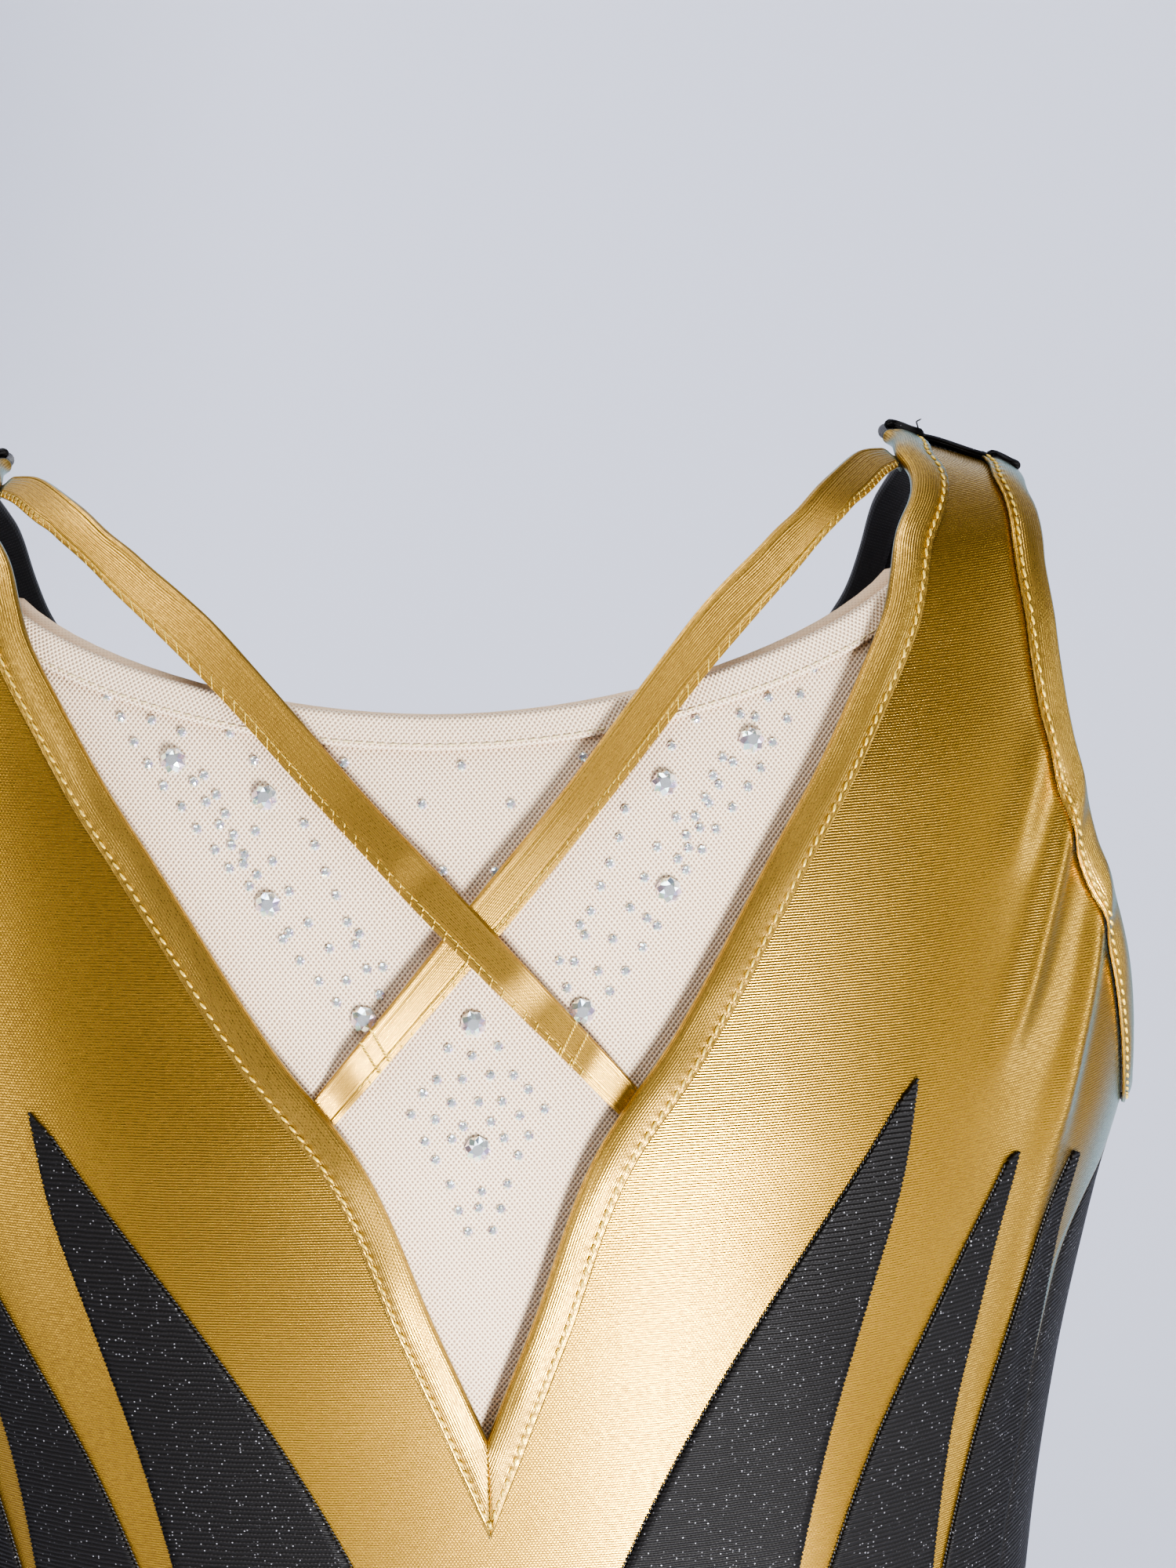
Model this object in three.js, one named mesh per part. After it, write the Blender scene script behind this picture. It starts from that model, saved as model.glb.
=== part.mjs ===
// A girl's sleeveless gymnastics and cheer one-piece, filled out as it is when worn.
// Gold foil bodice with a deep V, a nude mesh yoke behind crossed straps, black flames rising
// from the waist, a black brief and back, folded bindings with elastic, and flat-back stones.
// Millimetres, +Z up, the wearer faces -Y, and +X is the wearer's left. The origin is on the
// centre plane, midway between the two shoulder seams, at their height beside the neck.
import * as THREE from 'three';
import { ConvexGeometry } from 'three/addons/geometries/ConvexGeometry.js';

// ---- Driving dimensions ---------------------------------------------------------------

// The worn form. Heights were drawn for one body length and are graded to the one wanted.
const bodyLength = 545; // shoulder seam to the bottom of the crotch
const drawnLength = 545;
const graded = (value) => value * bodyLength / drawnLength;

// Half width, and depth in front of and behind the side line, at each height.
const station = (height, halfWidth, front, back) => (
  { height: graded(height), halfWidth, front, back });
const crown = station(8, 62, 26, 26);
const neckPoint = station(0, 91, 34, 34);
const shoulderPoint = station(-9.5, 118.5, 44, 43);
const armTop = station(-20, 133, 52, 50);
const collar = station(-35, 141, 60, 58);
const upperChest = station(-60, 145, 71, 66);
const chest = station(-100, 145, 82, 74);
const underarm = station(-130, 142, 88, 76);
const ribs = station(-160, 134, 90, 75);
const midriff = station(-200, 125.5, 88, 71);
const highWaist = station(-240, 120, 84, 67);
const waist = station(-295, 116, 79, 64);
const highHip = station(-350, 120, 80, 76);
const lowHip = station(-400, 128, 84, 89);
const seat = station(-440, 132, 84, 92);
const sectionPower = 2.3; // 2 is an ellipse, more is squarer

// The cut of the garment.
const neckDepth = 185; // shoulder seam to the point of the V
const yokeDepth = 39.5; // shoulder seam to the mesh yoke's top edge, on the centre line
const yokeSag = 22.9; // how far that edge's middle hangs below its ends
const backNeckDepth = 104;
const armholeDepth = 136;
const crotchHalfWidth = 30;
const legCutHeight = graded(-390); // the leg opening's highest point
const waistSeamDrop = 22; // the waist seam below the waist

// The flames: how far each tip is below the shoulder seam.
const innerFlameTip = 117;
const middleFlameTip = 137;
const outerFlameTip = 142;

// Bindings, straps, elastic and stones.
const bindingWidth = 7.5;
const bindingTurnUnder = 6.5; // width of the turned-under side
const hemWidth = 7;
const elasticWidth = 4.5;
const strapLift = 1.4; // how far the upper strap rises to pass over the lower one
const crossingLength = 22;
const stoneRadius = 2.65;
const stoneHeight = 2.1;
const stoneTableShare = 0.45;
const shoulderTapeHalfWidth = 5;

// Cloth thicknesses, and the clearance that stops two layers from touching.
const cloth = 0.7;
const bindingCloth = 0.6;
const meshCloth = 0.4;
const elasticCloth = 0.8;
const strapCloth = 0.8;
const layerGap = 0.8;
const meshGap = 0.7;
const seamGap = 0.5;
const stoneGap = 0.3;
const strapSink = 0.9; // the straps' inner face, below the bodice's

// Where each layer starts, measured out from the form.
const bodiceLayer = 0;
const outerLayer = bodiceLayer + cloth + layerGap;
const turnedLayer = bodiceLayer - layerGap - bindingCloth;
const hemFrontLayer = turnedLayer - meshGap - meshCloth;
const yokeLayer = hemFrontLayer - meshGap - meshCloth;
const hemBackLayer = yokeLayer - meshGap - meshCloth;
const liningLayer = hemBackLayer - layerGap - cloth;
const strapLayer = bodiceLayer - strapSink;
const stoneLayer = yokeLayer + meshCloth + stoneGap;

// ---- The form -------------------------------------------------------------------------

const stations = [crown, neckPoint, shoulderPoint, armTop, collar, upperChest, chest, underarm,
  ribs, midriff, highWaist, waist, highHip, lowHip, seat].reverse();

// Monotone cubic through the stations, so the form never bulges between two of them.
function profileOf(field) {
  const h = stations.map((s) => s.height);
  const v = stations.map((s) => s[field]);
  const slope = h.slice(1).map((height, i) => (v[i + 1] - v[i]) / (height - h[i]));
  const tangent = v.map((_, i) => {
    if (i === 0) return slope[0];
    if (i === v.length - 1) return slope[i - 1];
    if (slope[i - 1] * slope[i] <= 0) return 0;
    const below = h[i] - h[i - 1];
    const above = h[i + 1] - h[i];
    const near = 2 * above + below;
    const far = above + 2 * below;
    return (near + far) / (near / slope[i - 1] + far / slope[i]);
  });
  return (height) => {
    const z = THREE.MathUtils.clamp(height, h[0], h[h.length - 1]);
    const i = Math.max(0, Math.min(h.length - 2, h.findIndex((value) => value > z) - 1));
    const k = z >= h[h.length - 1] ? h.length - 2 : i;
    const span = h[k + 1] - h[k];
    const t = (z - h[k]) / span;
    return (2 * t ** 3 - 3 * t ** 2 + 1) * v[k] + (t ** 3 - 2 * t ** 2 + t) * span * tangent[k]
      + (3 * t ** 2 - 2 * t ** 3) * v[k + 1] + (t ** 3 - t ** 2) * span * tangent[k + 1];
  };
}

const halfWidthAt = profileOf('halfWidth');
const frontAt = profileOf('front');
const backAt = profileOf('back');
const seatDrop = seat.height + bodyLength;
const crotchRun = seat.height - seatDrop * Math.PI / 2; // the bottom centre, as a run

// A place on the form is [turn, run]. turn counts quarter turns from the centre front: 1 is the
// wearer's left side line, 2 the centre back. run is the height, and below the seat it goes on
// as the distance along the curve that closes the form between the legs.
function surface([turn, run]) {
  const angle = turn * Math.PI / 2;
  const size = (Math.abs(Math.sin(angle)) ** sectionPower
    + Math.abs(Math.cos(angle)) ** sectionPower) ** (-1 / sectionPower);
  const across = Math.sin(angle) * size;
  const ahead = Math.cos(angle) * size;
  const depth = (forward) => (forward > 0 ? frontAt : backAt)(run);
  const x = halfWidthAt(run) * across;
  if (run >= seat.height) return new THREE.Vector3(x, -depth(ahead) * ahead, run);
  const sweep = (seat.height - run) / seatDrop;
  const forward = Math.cos(sweep) * Math.sign(ahead);
  const level = Math.abs(forward) / depth(forward);
  const drop = Math.sin(sweep) / seatDrop;
  const cut = Math.abs(x / seat.halfWidth) ** sectionPower;
  let low = 0;
  let high = 2 * Math.max(seatDrop, seat.front, seat.back);
  for (let i = 0; i < 40; i += 1) {
    const reach = (low + high) / 2;
    const ring = (cut + (reach * level) ** sectionPower) ** (2 / sectionPower);
    if (ring + (reach * drop) ** 2 > 1) high = reach;
    else low = reach;
  }
  return new THREE.Vector3(x, -low * forward, seat.height - low * Math.sin(sweep));
}

const turnStep = 0.004;
const runStep = 0.5;

function slopes([turn, run]) {
  const alongTurn = surface([turn + turnStep, run]).sub(surface([turn - turnStep, run]));
  const alongRun = surface([turn, run + runStep]).sub(surface([turn, run - runStep]));
  return [alongTurn.divideScalar(2 * turnStep), alongRun.divideScalar(2 * runStep)];
}

function outward(place) {
  const [alongTurn, alongRun] = slopes(place);
  return alongTurn.cross(alongRun).normalize();
}

// A point held off the form by a distance along its normal.
function lifted(place, offset) {
  return surface(place).addScaledVector(outward(place), offset);
}

// The place reached by walking along the form in a direction, by a distance.
function walk([turn, run], direction, distance) {
  const steps = 2;
  let here = [turn, run];
  for (let i = 0; i < steps; i += 1) {
    const [a, b] = slopes(here);
    const move = direction.clone().multiplyScalar(distance / steps);
    const aa = a.dot(a);
    const ab = a.dot(b);
    const bb = b.dot(b);
    const det = aa * bb - ab * ab;
    const da = (move.dot(a) * bb - move.dot(b) * ab) / det;
    const db = (move.dot(b) * aa - move.dot(a) * ab) / det;
    here = [here[0] + da, here[1] + db];
  }
  return here;
}

const mix = (a, b, share) => a.map((value, k) => value + (b[k] - value) * share);

// A smooth line of places through a few chosen ones, run at an even pace.
const turnLength = 130; // one quarter turn, about, so that both coordinates are lengths

function line(places) {
  const points = places.map(([turn, run]) => new THREE.Vector3(turn * turnLength, run, 0));
  const curve = new THREE.CatmullRomCurve3(points, false, 'centripetal');
  return (share) => {
    const p = curve.getPointAt(THREE.MathUtils.clamp(share, 0, 1));
    return [p.x / turnLength, p.y];
  };
}

const sampled = (curve, count, from = 0, to = 1) => Array
  .from({ length: count + 1 }, (_, i) => curve(from + (to - from) * i / count));

// The turn at which a section's half width is this share of its widest.
function turnAcross(across) {
  const ahead = (1 - across ** sectionPower) ** (1 / sectionPower);
  return Math.atan2(across, ahead) * 2 / Math.PI;
}

// The first share of a line at which the test holds.
function shareWhere(curve, test) {
  const fine = 2000;
  for (let i = 0; i <= fine; i += 1) {
    if (test(curve(i / fine))) return i / fine;
  }
  return 1;
}

// The place on the form above a point of the plan, near the shoulders.
function placeAbove(x, y) {
  let low = upperChest.height;
  let high = crown.height;
  for (let i = 0; i < 40; i += 1) {
    const run = (low + high) / 2;
    const across = Math.abs(x) / halfWidthAt(run);
    const ahead = Math.abs(y) / (y < 0 ? frontAt : backAt)(run);
    if (across ** sectionPower + ahead ** sectionPower < 1) low = run;
    else high = run;
  }
  const ahead = -y / (y < 0 ? frontAt : backAt)(low);
  return [Math.atan2(x / halfWidthAt(low), ahead) * 2 / Math.PI, low];
}

// ---- Closed shells --------------------------------------------------------------------

// A geometry from points and faces, with the faces turned out if the volume is negative.
function closedGeometry(points, faces) {
  let volume = 0;
  for (const [a, b, c] of faces) {
    volume += points[a].dot(points[b].clone().cross(points[c]));
  }
  const outwards = volume < 0 ? faces.map(([a, b, c]) => [a, c, b]) : faces;
  const geometry = new THREE.BufferGeometry();
  const flat = points.flatMap((p) => [p.x, p.y, p.z]);
  geometry.setAttribute('position', new THREE.Float32BufferAttribute(flat, 3));
  geometry.setIndex(outwards.flat());
  geometry.computeVertexNormals();
  return geometry;
}

// Cloth over four-sided cells, each given by its corners' places. Corners that meet are one
// point, and an edge that only one cell has gets a wall. inner is the distance from the form
// to the cloth's inner face, a number or a function of the place.
function clothShell(cells, inner, thickness) {
  const found = new Map();
  const places = [];
  const indexOf = (place) => {
    const key = surface(place).toArray().map((value) => Math.round(value * 100)).join();
    if (!found.has(key)) {
      found.set(key, places.length);
      places.push(place);
    }
    return found.get(key);
  };
  const innerAt = typeof inner === 'function' ? inner : () => inner;
  const quads = cells.map((cell) => cell.map(indexOf));
  const low = places.map((place) => lifted(place, innerAt(place)));
  const high = places.map((place) => lifted(place, innerAt(place) + thickness));
  const top = places.length;
  const openEdges = new Map();
  const faces = [];
  for (const [a, b, c, d] of quads) {
    faces.push([a, b, c], [a, c, d], [top + a, top + c, top + b], [top + a, top + d, top + c]);
    for (const [from, to] of [[a, b], [b, c], [c, d], [d, a]]) {
      if (!openEdges.delete(`${to}:${from}`)) openEdges.set(`${from}:${to}`, [from, to]);
    }
  }
  for (const [from, to] of openEdges.values()) {
    faces.push([to, from, top + from], [to, top + from, top + to]);
  }
  return closedGeometry([...low, ...high], faces);
}

// Rows of places from each place of one list to its partner in the other, at given shares.
const rowsBetween = (left, right, shares) => left
  .map((place, row) => shares.map((share) => mix(place, right[row], share)));

const evenShares = (count) => Array.from({ length: count + 1 }, (_, i) => i / count);

const cellsOf = (rows) => rows.slice(1).flatMap((row, j) => row.slice(1)
  .map((place, i) => [rows[j][i], rows[j][i + 1], place, row[i]]));

const mirrorPlace = ([turn, run]) => [-turn, run];
const mirrorCells = (cells) => cells.map((cell) => cell.map(mirrorPlace).reverse());

// Frames along a list of places: the place, and the direction that leads into the cloth.
// side is 1 when the cloth lies to the left. first and last replace the end directions.
function framesAlong(places, side, { closed = false, first, last } = {}) {
  const points = places.map(surface);
  const end = places.length - 1;
  const frames = places.map((place, i) => {
    const before = points[i > 0 ? i - 1 : (closed ? end : 0)];
    const after = points[i < end ? i + 1 : (closed ? 0 : end)];
    const tangent = after.clone().sub(before).normalize();
    return { place, into: outward(place).cross(tangent).normalize().multiplyScalar(side) };
  });
  if (first) frames[0].into = first;
  if (last) frames[end].into = last;
  return frames;
}

const movedIn = (frames, distance) => frames
  .map(({ place, into, stretch = 1 }) => walk(place, into, distance * stretch));

const mirrorFrames = (frames) => frames.map(({ place, into, stretch }) => (
  { place: mirrorPlace(place), into: new THREE.Vector3(-into.x, into.y, into.z), stretch }));

// A ring-shaped section carried along an edge. Each of its points is [distance in from the
// edge, height off the form].
function edging(frames, section, closed = false) {
  const size = section.length;
  const points = frames.flatMap(({ place, into, stretch = 1 }) => section
    .map(([distance, height]) => lifted(walk(place, into, distance * stretch), height)));
  const faces = [];
  const rings = closed ? frames.length : frames.length - 1;
  for (let ring = 0; ring < rings; ring += 1) {
    const here = ring * size;
    const next = ((ring + 1) % frames.length) * size;
    for (let i = 0; i < size; i += 1) {
      const j = (i + 1) % size;
      faces.push([here + i, here + j, next + j], [here + i, next + j, next + i]);
    }
  }
  if (!closed) {
    const end = (frames.length - 1) * size;
    const outline = section.map(([distance, height]) => new THREE.Vector2(distance, height));
    for (const [a, b, c] of THREE.ShapeUtils.triangulateShape(outline, [])) {
      faces.push([c, b, a], [end + a, end + b, end + c]);
    }
  }
  return closedGeometry(points, faces);
}

// A strip folded over an edge: its outer side, the fold, and the side turned under.
function foldedSection(width, turnedWidth, outerStart, innerStart, thickness) {
  return [
    [width, outerStart + thickness], [0, outerStart + thickness], [0, innerStart],
    [turnedWidth, innerStart], [turnedWidth, innerStart + thickness],
    [thickness, innerStart + thickness], [thickness, outerStart], [width, outerStart],
  ];
}

const bindingSection = foldedSection(bindingWidth, bindingTurnUnder, outerLayer, turnedLayer,
  bindingCloth);
const hemSection = foldedSection(hemWidth, hemWidth, hemFrontLayer, hemBackLayer, meshCloth);
const boundInset = bindingCloth + seamGap; // a panel's edge, in from the edge of its binding
const elasticInset = boundInset + elasticWidth + 2 * seamGap; // with elastic in the fold
const elasticSection = [
  [boundInset, 0], [boundInset + elasticWidth, 0],
  [boundInset + elasticWidth, elasticCloth], [boundInset, elasticCloth],
];

// ---- Lines of the cut, on the wearer's left -------------------------------------------

const shoulderTurn = 0.005; // half the gap at the shoulder seam, as a turn
const neckTop = [1 - shoulderTurn, neckPoint.height];
const armholeTop = [1 - shoulderTurn, shoulderPoint.height];
const behind = ([turn, run]) => [2 - turn, run];

// From the shoulder seam, over the collar bone, and down to the point of the V.
const neckLine = line([
  neckTop, [0.73, -0.014 * neckDepth], [0.48, -0.072 * neckDepth],
  [0.4, -0.155 * neckDepth], [0.289, -0.336 * neckDepth], [0.176, -0.557 * neckDepth],
  [0.102, -0.685 * neckDepth], [0.048, -0.86 * neckDepth], [0, -neckDepth],
]);
const backNeckLine = line([
  behind(neckTop), [1.27, -0.025 * backNeckDepth], [1.52, -0.18 * backNeckDepth],
  [1.61, -0.46 * backNeckDepth], [1.73, -0.79 * backNeckDepth],
  [1.87, -0.96 * backNeckDepth], [2, -backNeckDepth],
]);

// The armhole, down the front to its lowest point, and the same down the back.
const armholeLow = [0.9, -armholeDepth];
const armholeFront = line([
  armholeTop, [0.8, -0.09 * armholeDepth], [0.66, -0.165 * armholeDepth],
  [0.614, -0.34 * armholeDepth], [0.645, -0.53 * armholeDepth], [0.715, -0.705 * armholeDepth],
  [0.78, -0.87 * armholeDepth], [0.835, -0.97 * armholeDepth], armholeLow,
]);
const armholeBack = line([
  behind(armholeTop), [1.2, -0.095 * armholeDepth], [1.33, -0.19 * armholeDepth],
  [1.37, -0.38 * armholeDepth], [1.32, -0.62 * armholeDepth], [1.2, -0.83 * armholeDepth],
  [1.04, -0.97 * armholeDepth], armholeLow,
]);

// The side seam runs forward of the side line, so that the back shows from the front.
const waistSeam = waist.height - waistSeamDrop;
const waistSide = [0.66, waistSeam];
const legTop = [0.83, legCutHeight];
const sideSeamUpper = line([
  armholeLow, [0.84, -armholeDepth - 12], [0.75, -armholeDepth - 20],
  [0.7, -armholeDepth - 29], [0.686, -armholeDepth - 50], [0.67, highWaist.height], waistSide,
]);
const sideSeamLower = line([waistSide, [0.7, highHip.height - graded(5)], legTop]);

// The leg opening, down the front from its highest point to the crotch, and down the back.
const crotchTurn = turnAcross(crotchHalfWidth / seat.halfWidth);
const legFront = line([
  legTop, [0.76, legCutHeight - graded(4)], [0.64, seat.height + graded(18)],
  [0.44, seat.height - graded(22)], [0.27, seat.height - graded(70)],
  [crotchTurn + 0.025, crotchRun + graded(42)], [crotchTurn, crotchRun],
]);
const legBack = line([
  legTop, [0.93, legCutHeight - graded(1.5)], [1.05, legCutHeight - graded(9)],
  [1.17, legCutHeight - graded(22)], [1.28, seat.height + graded(10)],
  [1.37, seat.height - graded(4)], [1.45, seat.height - graded(26)],
  [1.54, seat.height - graded(58)], [1.72, seat.height - graded(106)],
  [1.85, crotchRun + graded(24)], behind([crotchTurn, crotchRun]),
]);

// ---- Edges, as frames -----------------------------------------------------------------

const straightDown = (place) => slopes(place)[1].normalize().negate();
const alongShoulder = surface(armholeTop).sub(surface(neckTop)).normalize();
const fromShoulder = alongShoulder.clone().negate();
const nearEnd = 0.997; // two bindings stop this side of where they meet
const centreTurn = 0.0015; // half the gap between the two V bindings, as a turn

const neckRows = 19;
const neckFrames = framesAlong(sampled(neckLine, neckRows), 1, {
  first: alongShoulder, last: straightDown([0, -neckDepth]),
});
const pointReach = 0.033; // share of the neck line over which the V's slant is read
const intoPoint = surface(neckLine(1)).sub(surface(neckLine(1 - pointReach)));
neckFrames[neckRows].stretch = intoPoint.length() / Math.abs(intoPoint.x);
const neckBindingFrames = neckFrames.map(({ place, ...frame }) => (
  { place: [Math.max(place[0], centreTurn), place[1]], ...frame }));

const backNeckRows = 13;
const backNeckFrames = framesAlong(sampled(backNeckLine, backNeckRows), -1, {
  first: alongShoulder, last: straightDown([2, -backNeckDepth]),
});

const armRows = Math.round((armholeDepth + chest.halfWidth) / 20);
const armFrontFrames = framesAlong(sampled(armholeFront, armRows, 0, nearEnd), -1, {
  first: fromShoulder, last: straightDown(armholeLow),
});
const armBackFrames = framesAlong(sampled(armholeBack, armRows, 0, nearEnd), 1, {
  first: fromShoulder, last: straightDown(armholeLow),
});

// A loop down a front line and up a back one, with the cloth outside it.
const loopFrames = (front, frontRows, back, backRows) => framesAlong([
  ...sampled(front, frontRows).slice(0, -1),
  ...sampled(back, backRows).reverse().slice(0, -1),
], -1, { closed: true });

const legFrontRows = 12;
const legBackRows = 14;
const armholeLoop = loopFrames(armholeFront, armRows, armholeBack, armRows);
const legLoop = loopFrames(legFront, legFrontRows, legBack, legBackRows);

// ---- Panels ---------------------------------------------------------------------------

const halfGap = seamGap / 2;
const cornerShare = 1.6; // a panel's corner is this many insets from the opening's edge
const panelColumns = [0, 0.06, 0.2, 0.4, 0.6, 0.8, 0.94, 1];

// The two panel edges along a seam: the one towards the front, and the one behind.
const seamSides = (curve, rows, from, to) => {
  const places = sampled(curve, rows, from, to);
  return [movedIn(framesAlong(places, -1), halfGap), movedIn(framesAlong(places, 1), halfGap)];
};
const [frontSide, backSide] = seamSides(sideSeamUpper, 11, shareWhere(sideSeamUpper,
  (place) => place[1] < -armholeDepth - cornerShare * elasticInset), 1);
const [frontHip, backHip] = seamSides(sideSeamLower, 5, 0, shareWhere(sideSeamLower,
  (place) => place[1] < legCutHeight + cornerShare * elasticInset));

const straightDownTo = (from, to, rows) => sampled((share) => mix(from, to, share), rows);
const bothHalves = (rows) => {
  const left = cellsOf(rows);
  return [...left, ...mirrorCells(left)];
};

function frontBodice() {
  const outer = [...movedIn(armFrontFrames, elasticInset).slice(0, -1), ...frontSide];
  const neck = movedIn(neckFrames, boundInset);
  const centre = straightDownTo(neck[neckRows], [0, waistSeam + halfGap],
    outer.length - neck.length).slice(1);
  const rows = rowsBetween([...neck, ...centre], outer, panelColumns);
  rows[rows.length - 1] = rows[rows.length - 1].map(([turn]) => [turn, waistSeam + halfGap]);
  return clothShell(bothHalves(rows), bodiceLayer, cloth);
}

// A leg opening's edge on one panel, from just below its top to the crotch seam.
const legEdge = (curve, rows, side) => {
  const places = sampled(curve, rows).slice(1);
  const crotch = places[rows - 1];
  places[rows - 1] = [crotch[0], crotch[1] + halfGap];
  const across = surface([0, crotchRun]).sub(surface(crotch)).normalize();
  return movedIn(framesAlong(places, side, { last: across }), elasticInset);
};

function backPanel() {
  const outer = [...movedIn(armBackFrames, elasticInset).slice(0, -1), ...backSide,
    ...backHip.slice(1), ...legEdge(legBack, legBackRows, 1)];
  const neck = movedIn(backNeckFrames, boundInset);
  const centre = straightDownTo(neck[backNeckRows], [2, crotchRun + halfGap],
    outer.length - neck.length).slice(1);
  return clothShell(bothHalves(rowsBetween([...neck, ...centre], outer, panelColumns)),
    bodiceLayer, cloth);
}

function lowerFrontPanel() {
  const outer = [...frontHip, ...legEdge(legFront, legFrontRows, -1)];
  const centre = straightDownTo([0, waistSeam], [0, crotchRun + halfGap], outer.length - 1);
  const rows = rowsBetween(centre, outer, [0, 0.3, 0.6, 0.85, 1]);
  rows[0] = rows[0].map(([turn]) => [turn, waistSeam - halfGap]);
  return clothShell(bothHalves(rows), bodiceLayer, cloth);
}

// The yoke's top edge sags from the V towards the centre line.
const yokeCorner = shareWhere(neckLine, (place) => place[1] < yokeSag - yokeDepth);
const yokeTurn = neckLine(yokeCorner)[0];
const sagAt = (turn, edge) => yokeSag * (1 - Math.min(1, Math.abs(turn) / edge) ** 1.9);
const sagging = (rows, edgeOf) => rows.map((row, j) => row.map(([turn, run]) => (
  [turn, run - sagAt(turn, edgeOf(row)) * (1 - j / (rows.length - 1))])));
const yokeUnderBinding = 4; // how far the yoke reaches under the V binding
const yokeEdge = movedIn(framesAlong(sampled(neckLine, 12, yokeCorner, 1), 1),
  yokeUnderBinding);

function meshYoke() {
  const lowered = yokeEdge.map(([turn, run], j) => (
    [turn, run - (j === 0 ? meshCloth + seamGap : 0)]));
  const rows = rowsBetween(lowered.map(mirrorPlace), lowered, evenShares(14));
  return clothShell(cellsOf(sagging(rows, (row) => row[row.length - 1][0])),
    yokeLayer, meshCloth);
}

function meshYokeHem() {
  const [end, height] = yokeEdge[0];
  const top = (share) => {
    const turn = end * (2 * share - 1);
    return [turn, height - sagAt(turn, end)];
  };
  return edging(framesAlong(sampled(top, 16), -1), hemSection);
}

function frontLining() {
  const below = 3; // the lining stops this far below the top of the yoke
  const start = shareWhere(armholeFront, (place) => place[1] < yokeSag - yokeDepth - below);
  const arm = movedIn(framesAlong(sampled(armholeFront, 9, start, nearEnd), -1), bindingWidth);
  const outer = [...arm.slice(0, -1), ...frontSide.filter((_, i) => i % 2 === 1)];
  const rows = rowsBetween(
    straightDownTo([0, outer[0][1]], [0, waistSeam + halfGap], outer.length - 1), outer,
    evenShares(5),
  );
  return clothShell(bothHalves(sagging(rows, () => yokeTurn)), liningLayer, cloth);
}

// A double layer between the legs, whose cells cross the bottom centre.
function gussetLining() {
  const frontEnd = [turnAcross((crotchHalfWidth - 2) / seat.halfWidth), crotchRun + 44];
  const edge = straightDownTo(frontEnd, [frontEnd[0], crotchRun - 52], 8);
  return clothShell(cellsOf(rowsBetween(edge.map(mirrorPlace), edge, evenShares(4))),
    hemBackLayer, cloth);
}

// ---- Flames, straps, tape and stones --------------------------------------------------

// A flame's two sides, each place a turn and the share of the way from tip to waist seam.
const flames = {
  inner: {
    tip: innerFlameTip,
    inside: [[0.389, 0.015], [0.318, 0.135], [0.228, 0.298], [0.14, 0.486], [0.06, 0.71],
      [0.006, 0.915], [0.003, 1]],
    outside: [[0.402, 0], [0.388, 0.148], [0.351, 0.358], [0.328, 0.514], [0.302, 0.744],
      [0.302, 1]],
  },
  middle: {
    tip: middleFlameTip,
    inside: [[0.527, 0.005], [0.475, 0.142], [0.409, 0.32], [0.367, 0.469], [0.308, 0.744],
      [0.308, 1]],
    outside: [[0.539, 0], [0.528, 0.172], [0.515, 0.325], [0.514, 0.5], [0.517, 0.62],
      [0.517, 1]],
  },
  outer: {
    tip: outerFlameTip,
    inside: [[0.649, 0], [0.616, 0.066], [0.571, 0.278], [0.537, 0.5], [0.523, 0.62],
      [0.523, 1]],
    outside: [[0.664, 0.005], [0.661, 0.1], [0.667, 0.24], [0.662, 0.56], [0.652, 1]],
  },
};

function flame({ tip, inside, outside }, halves) {
  const bottom = waistSeam + halfGap;
  const side = (places) => sampled(line(places
    .map(([turn, share]) => [turn, -tip + share * (bottom + tip)])), 13);
  const cells = cellsOf(rowsBetween(side(inside), side(outside), evenShares(3)));
  return clothShell(halves(cells), outerLayer, cloth);
}

// A strap runs from beside one shoulder seam to the V's other side. Each end is a share of the
// neck line, and stands clear of its binding.
const strapStandOff = 1.2;
const besideNeck = (share) => movedIn([framesAlong(
  [neckLine(share - 0.01), neckLine(share), neckLine(share + 0.01)], 1)[1]], -strapStandOff)[0];
const strapUpper = line([
  besideNeck(0.06), [0.7, 0], [0.5, -0.018 * neckDepth], [0.398, -0.04 * neckDepth],
  [0.325, -0.066 * neckDepth], [0.23, -0.124 * neckDepth], [0.053, -0.343 * neckDepth],
  mirrorPlace(besideNeck(0.708)),
]);
const strapLower = line([
  besideNeck(0.12), [0.625, -0.02 * neckDepth], [0.524, -0.033 * neckDepth], [0.458, -0.046 * neckDepth],
  [0.362, -0.082 * neckDepth], [0.245, -0.168 * neckDepth], [0.02, -0.453 * neckDepth],
  mirrorPlace(besideNeck(0.73)),
]);
const crossing = surface([0, -0.44 * neckDepth]);
const strapRows = 28;

function crossStrap(over) {
  const cells = cellsOf(rowsBetween(sampled(strapUpper, strapRows),
    sampled(strapLower, strapRows), evenShares(2)));
  if (!over) return clothShell(cells, strapLayer, strapCloth);
  const raised = (place) => {
    const away = surface(place).distanceTo(crossing);
    const near = THREE.MathUtils.smoothstep(crossingLength - away, 0, crossingLength / 2);
    return strapLayer + strapLift * near;
  };
  return clothShell(mirrorCells(cells), raised, strapCloth);
}

function shoulderSeamTape(halves) {
  const from = neckPoint.halfWidth + bindingTurnUnder + 2;
  const to = shoulderPoint.halfWidth - bindingTurnUnder - 2;
  const acrossSeam = [-1, -0.5, 0, 0.5, 1].map((share) => share * shoulderTapeHalfWidth);
  const rows = acrossSeam.map((y) => [0, 0.5, 1]
    .map((share) => placeAbove(from + (to - from) * share, y)));
  return clothShell(halves(cellsOf(rows)), turnedLayer, meshCloth);
}

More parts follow.
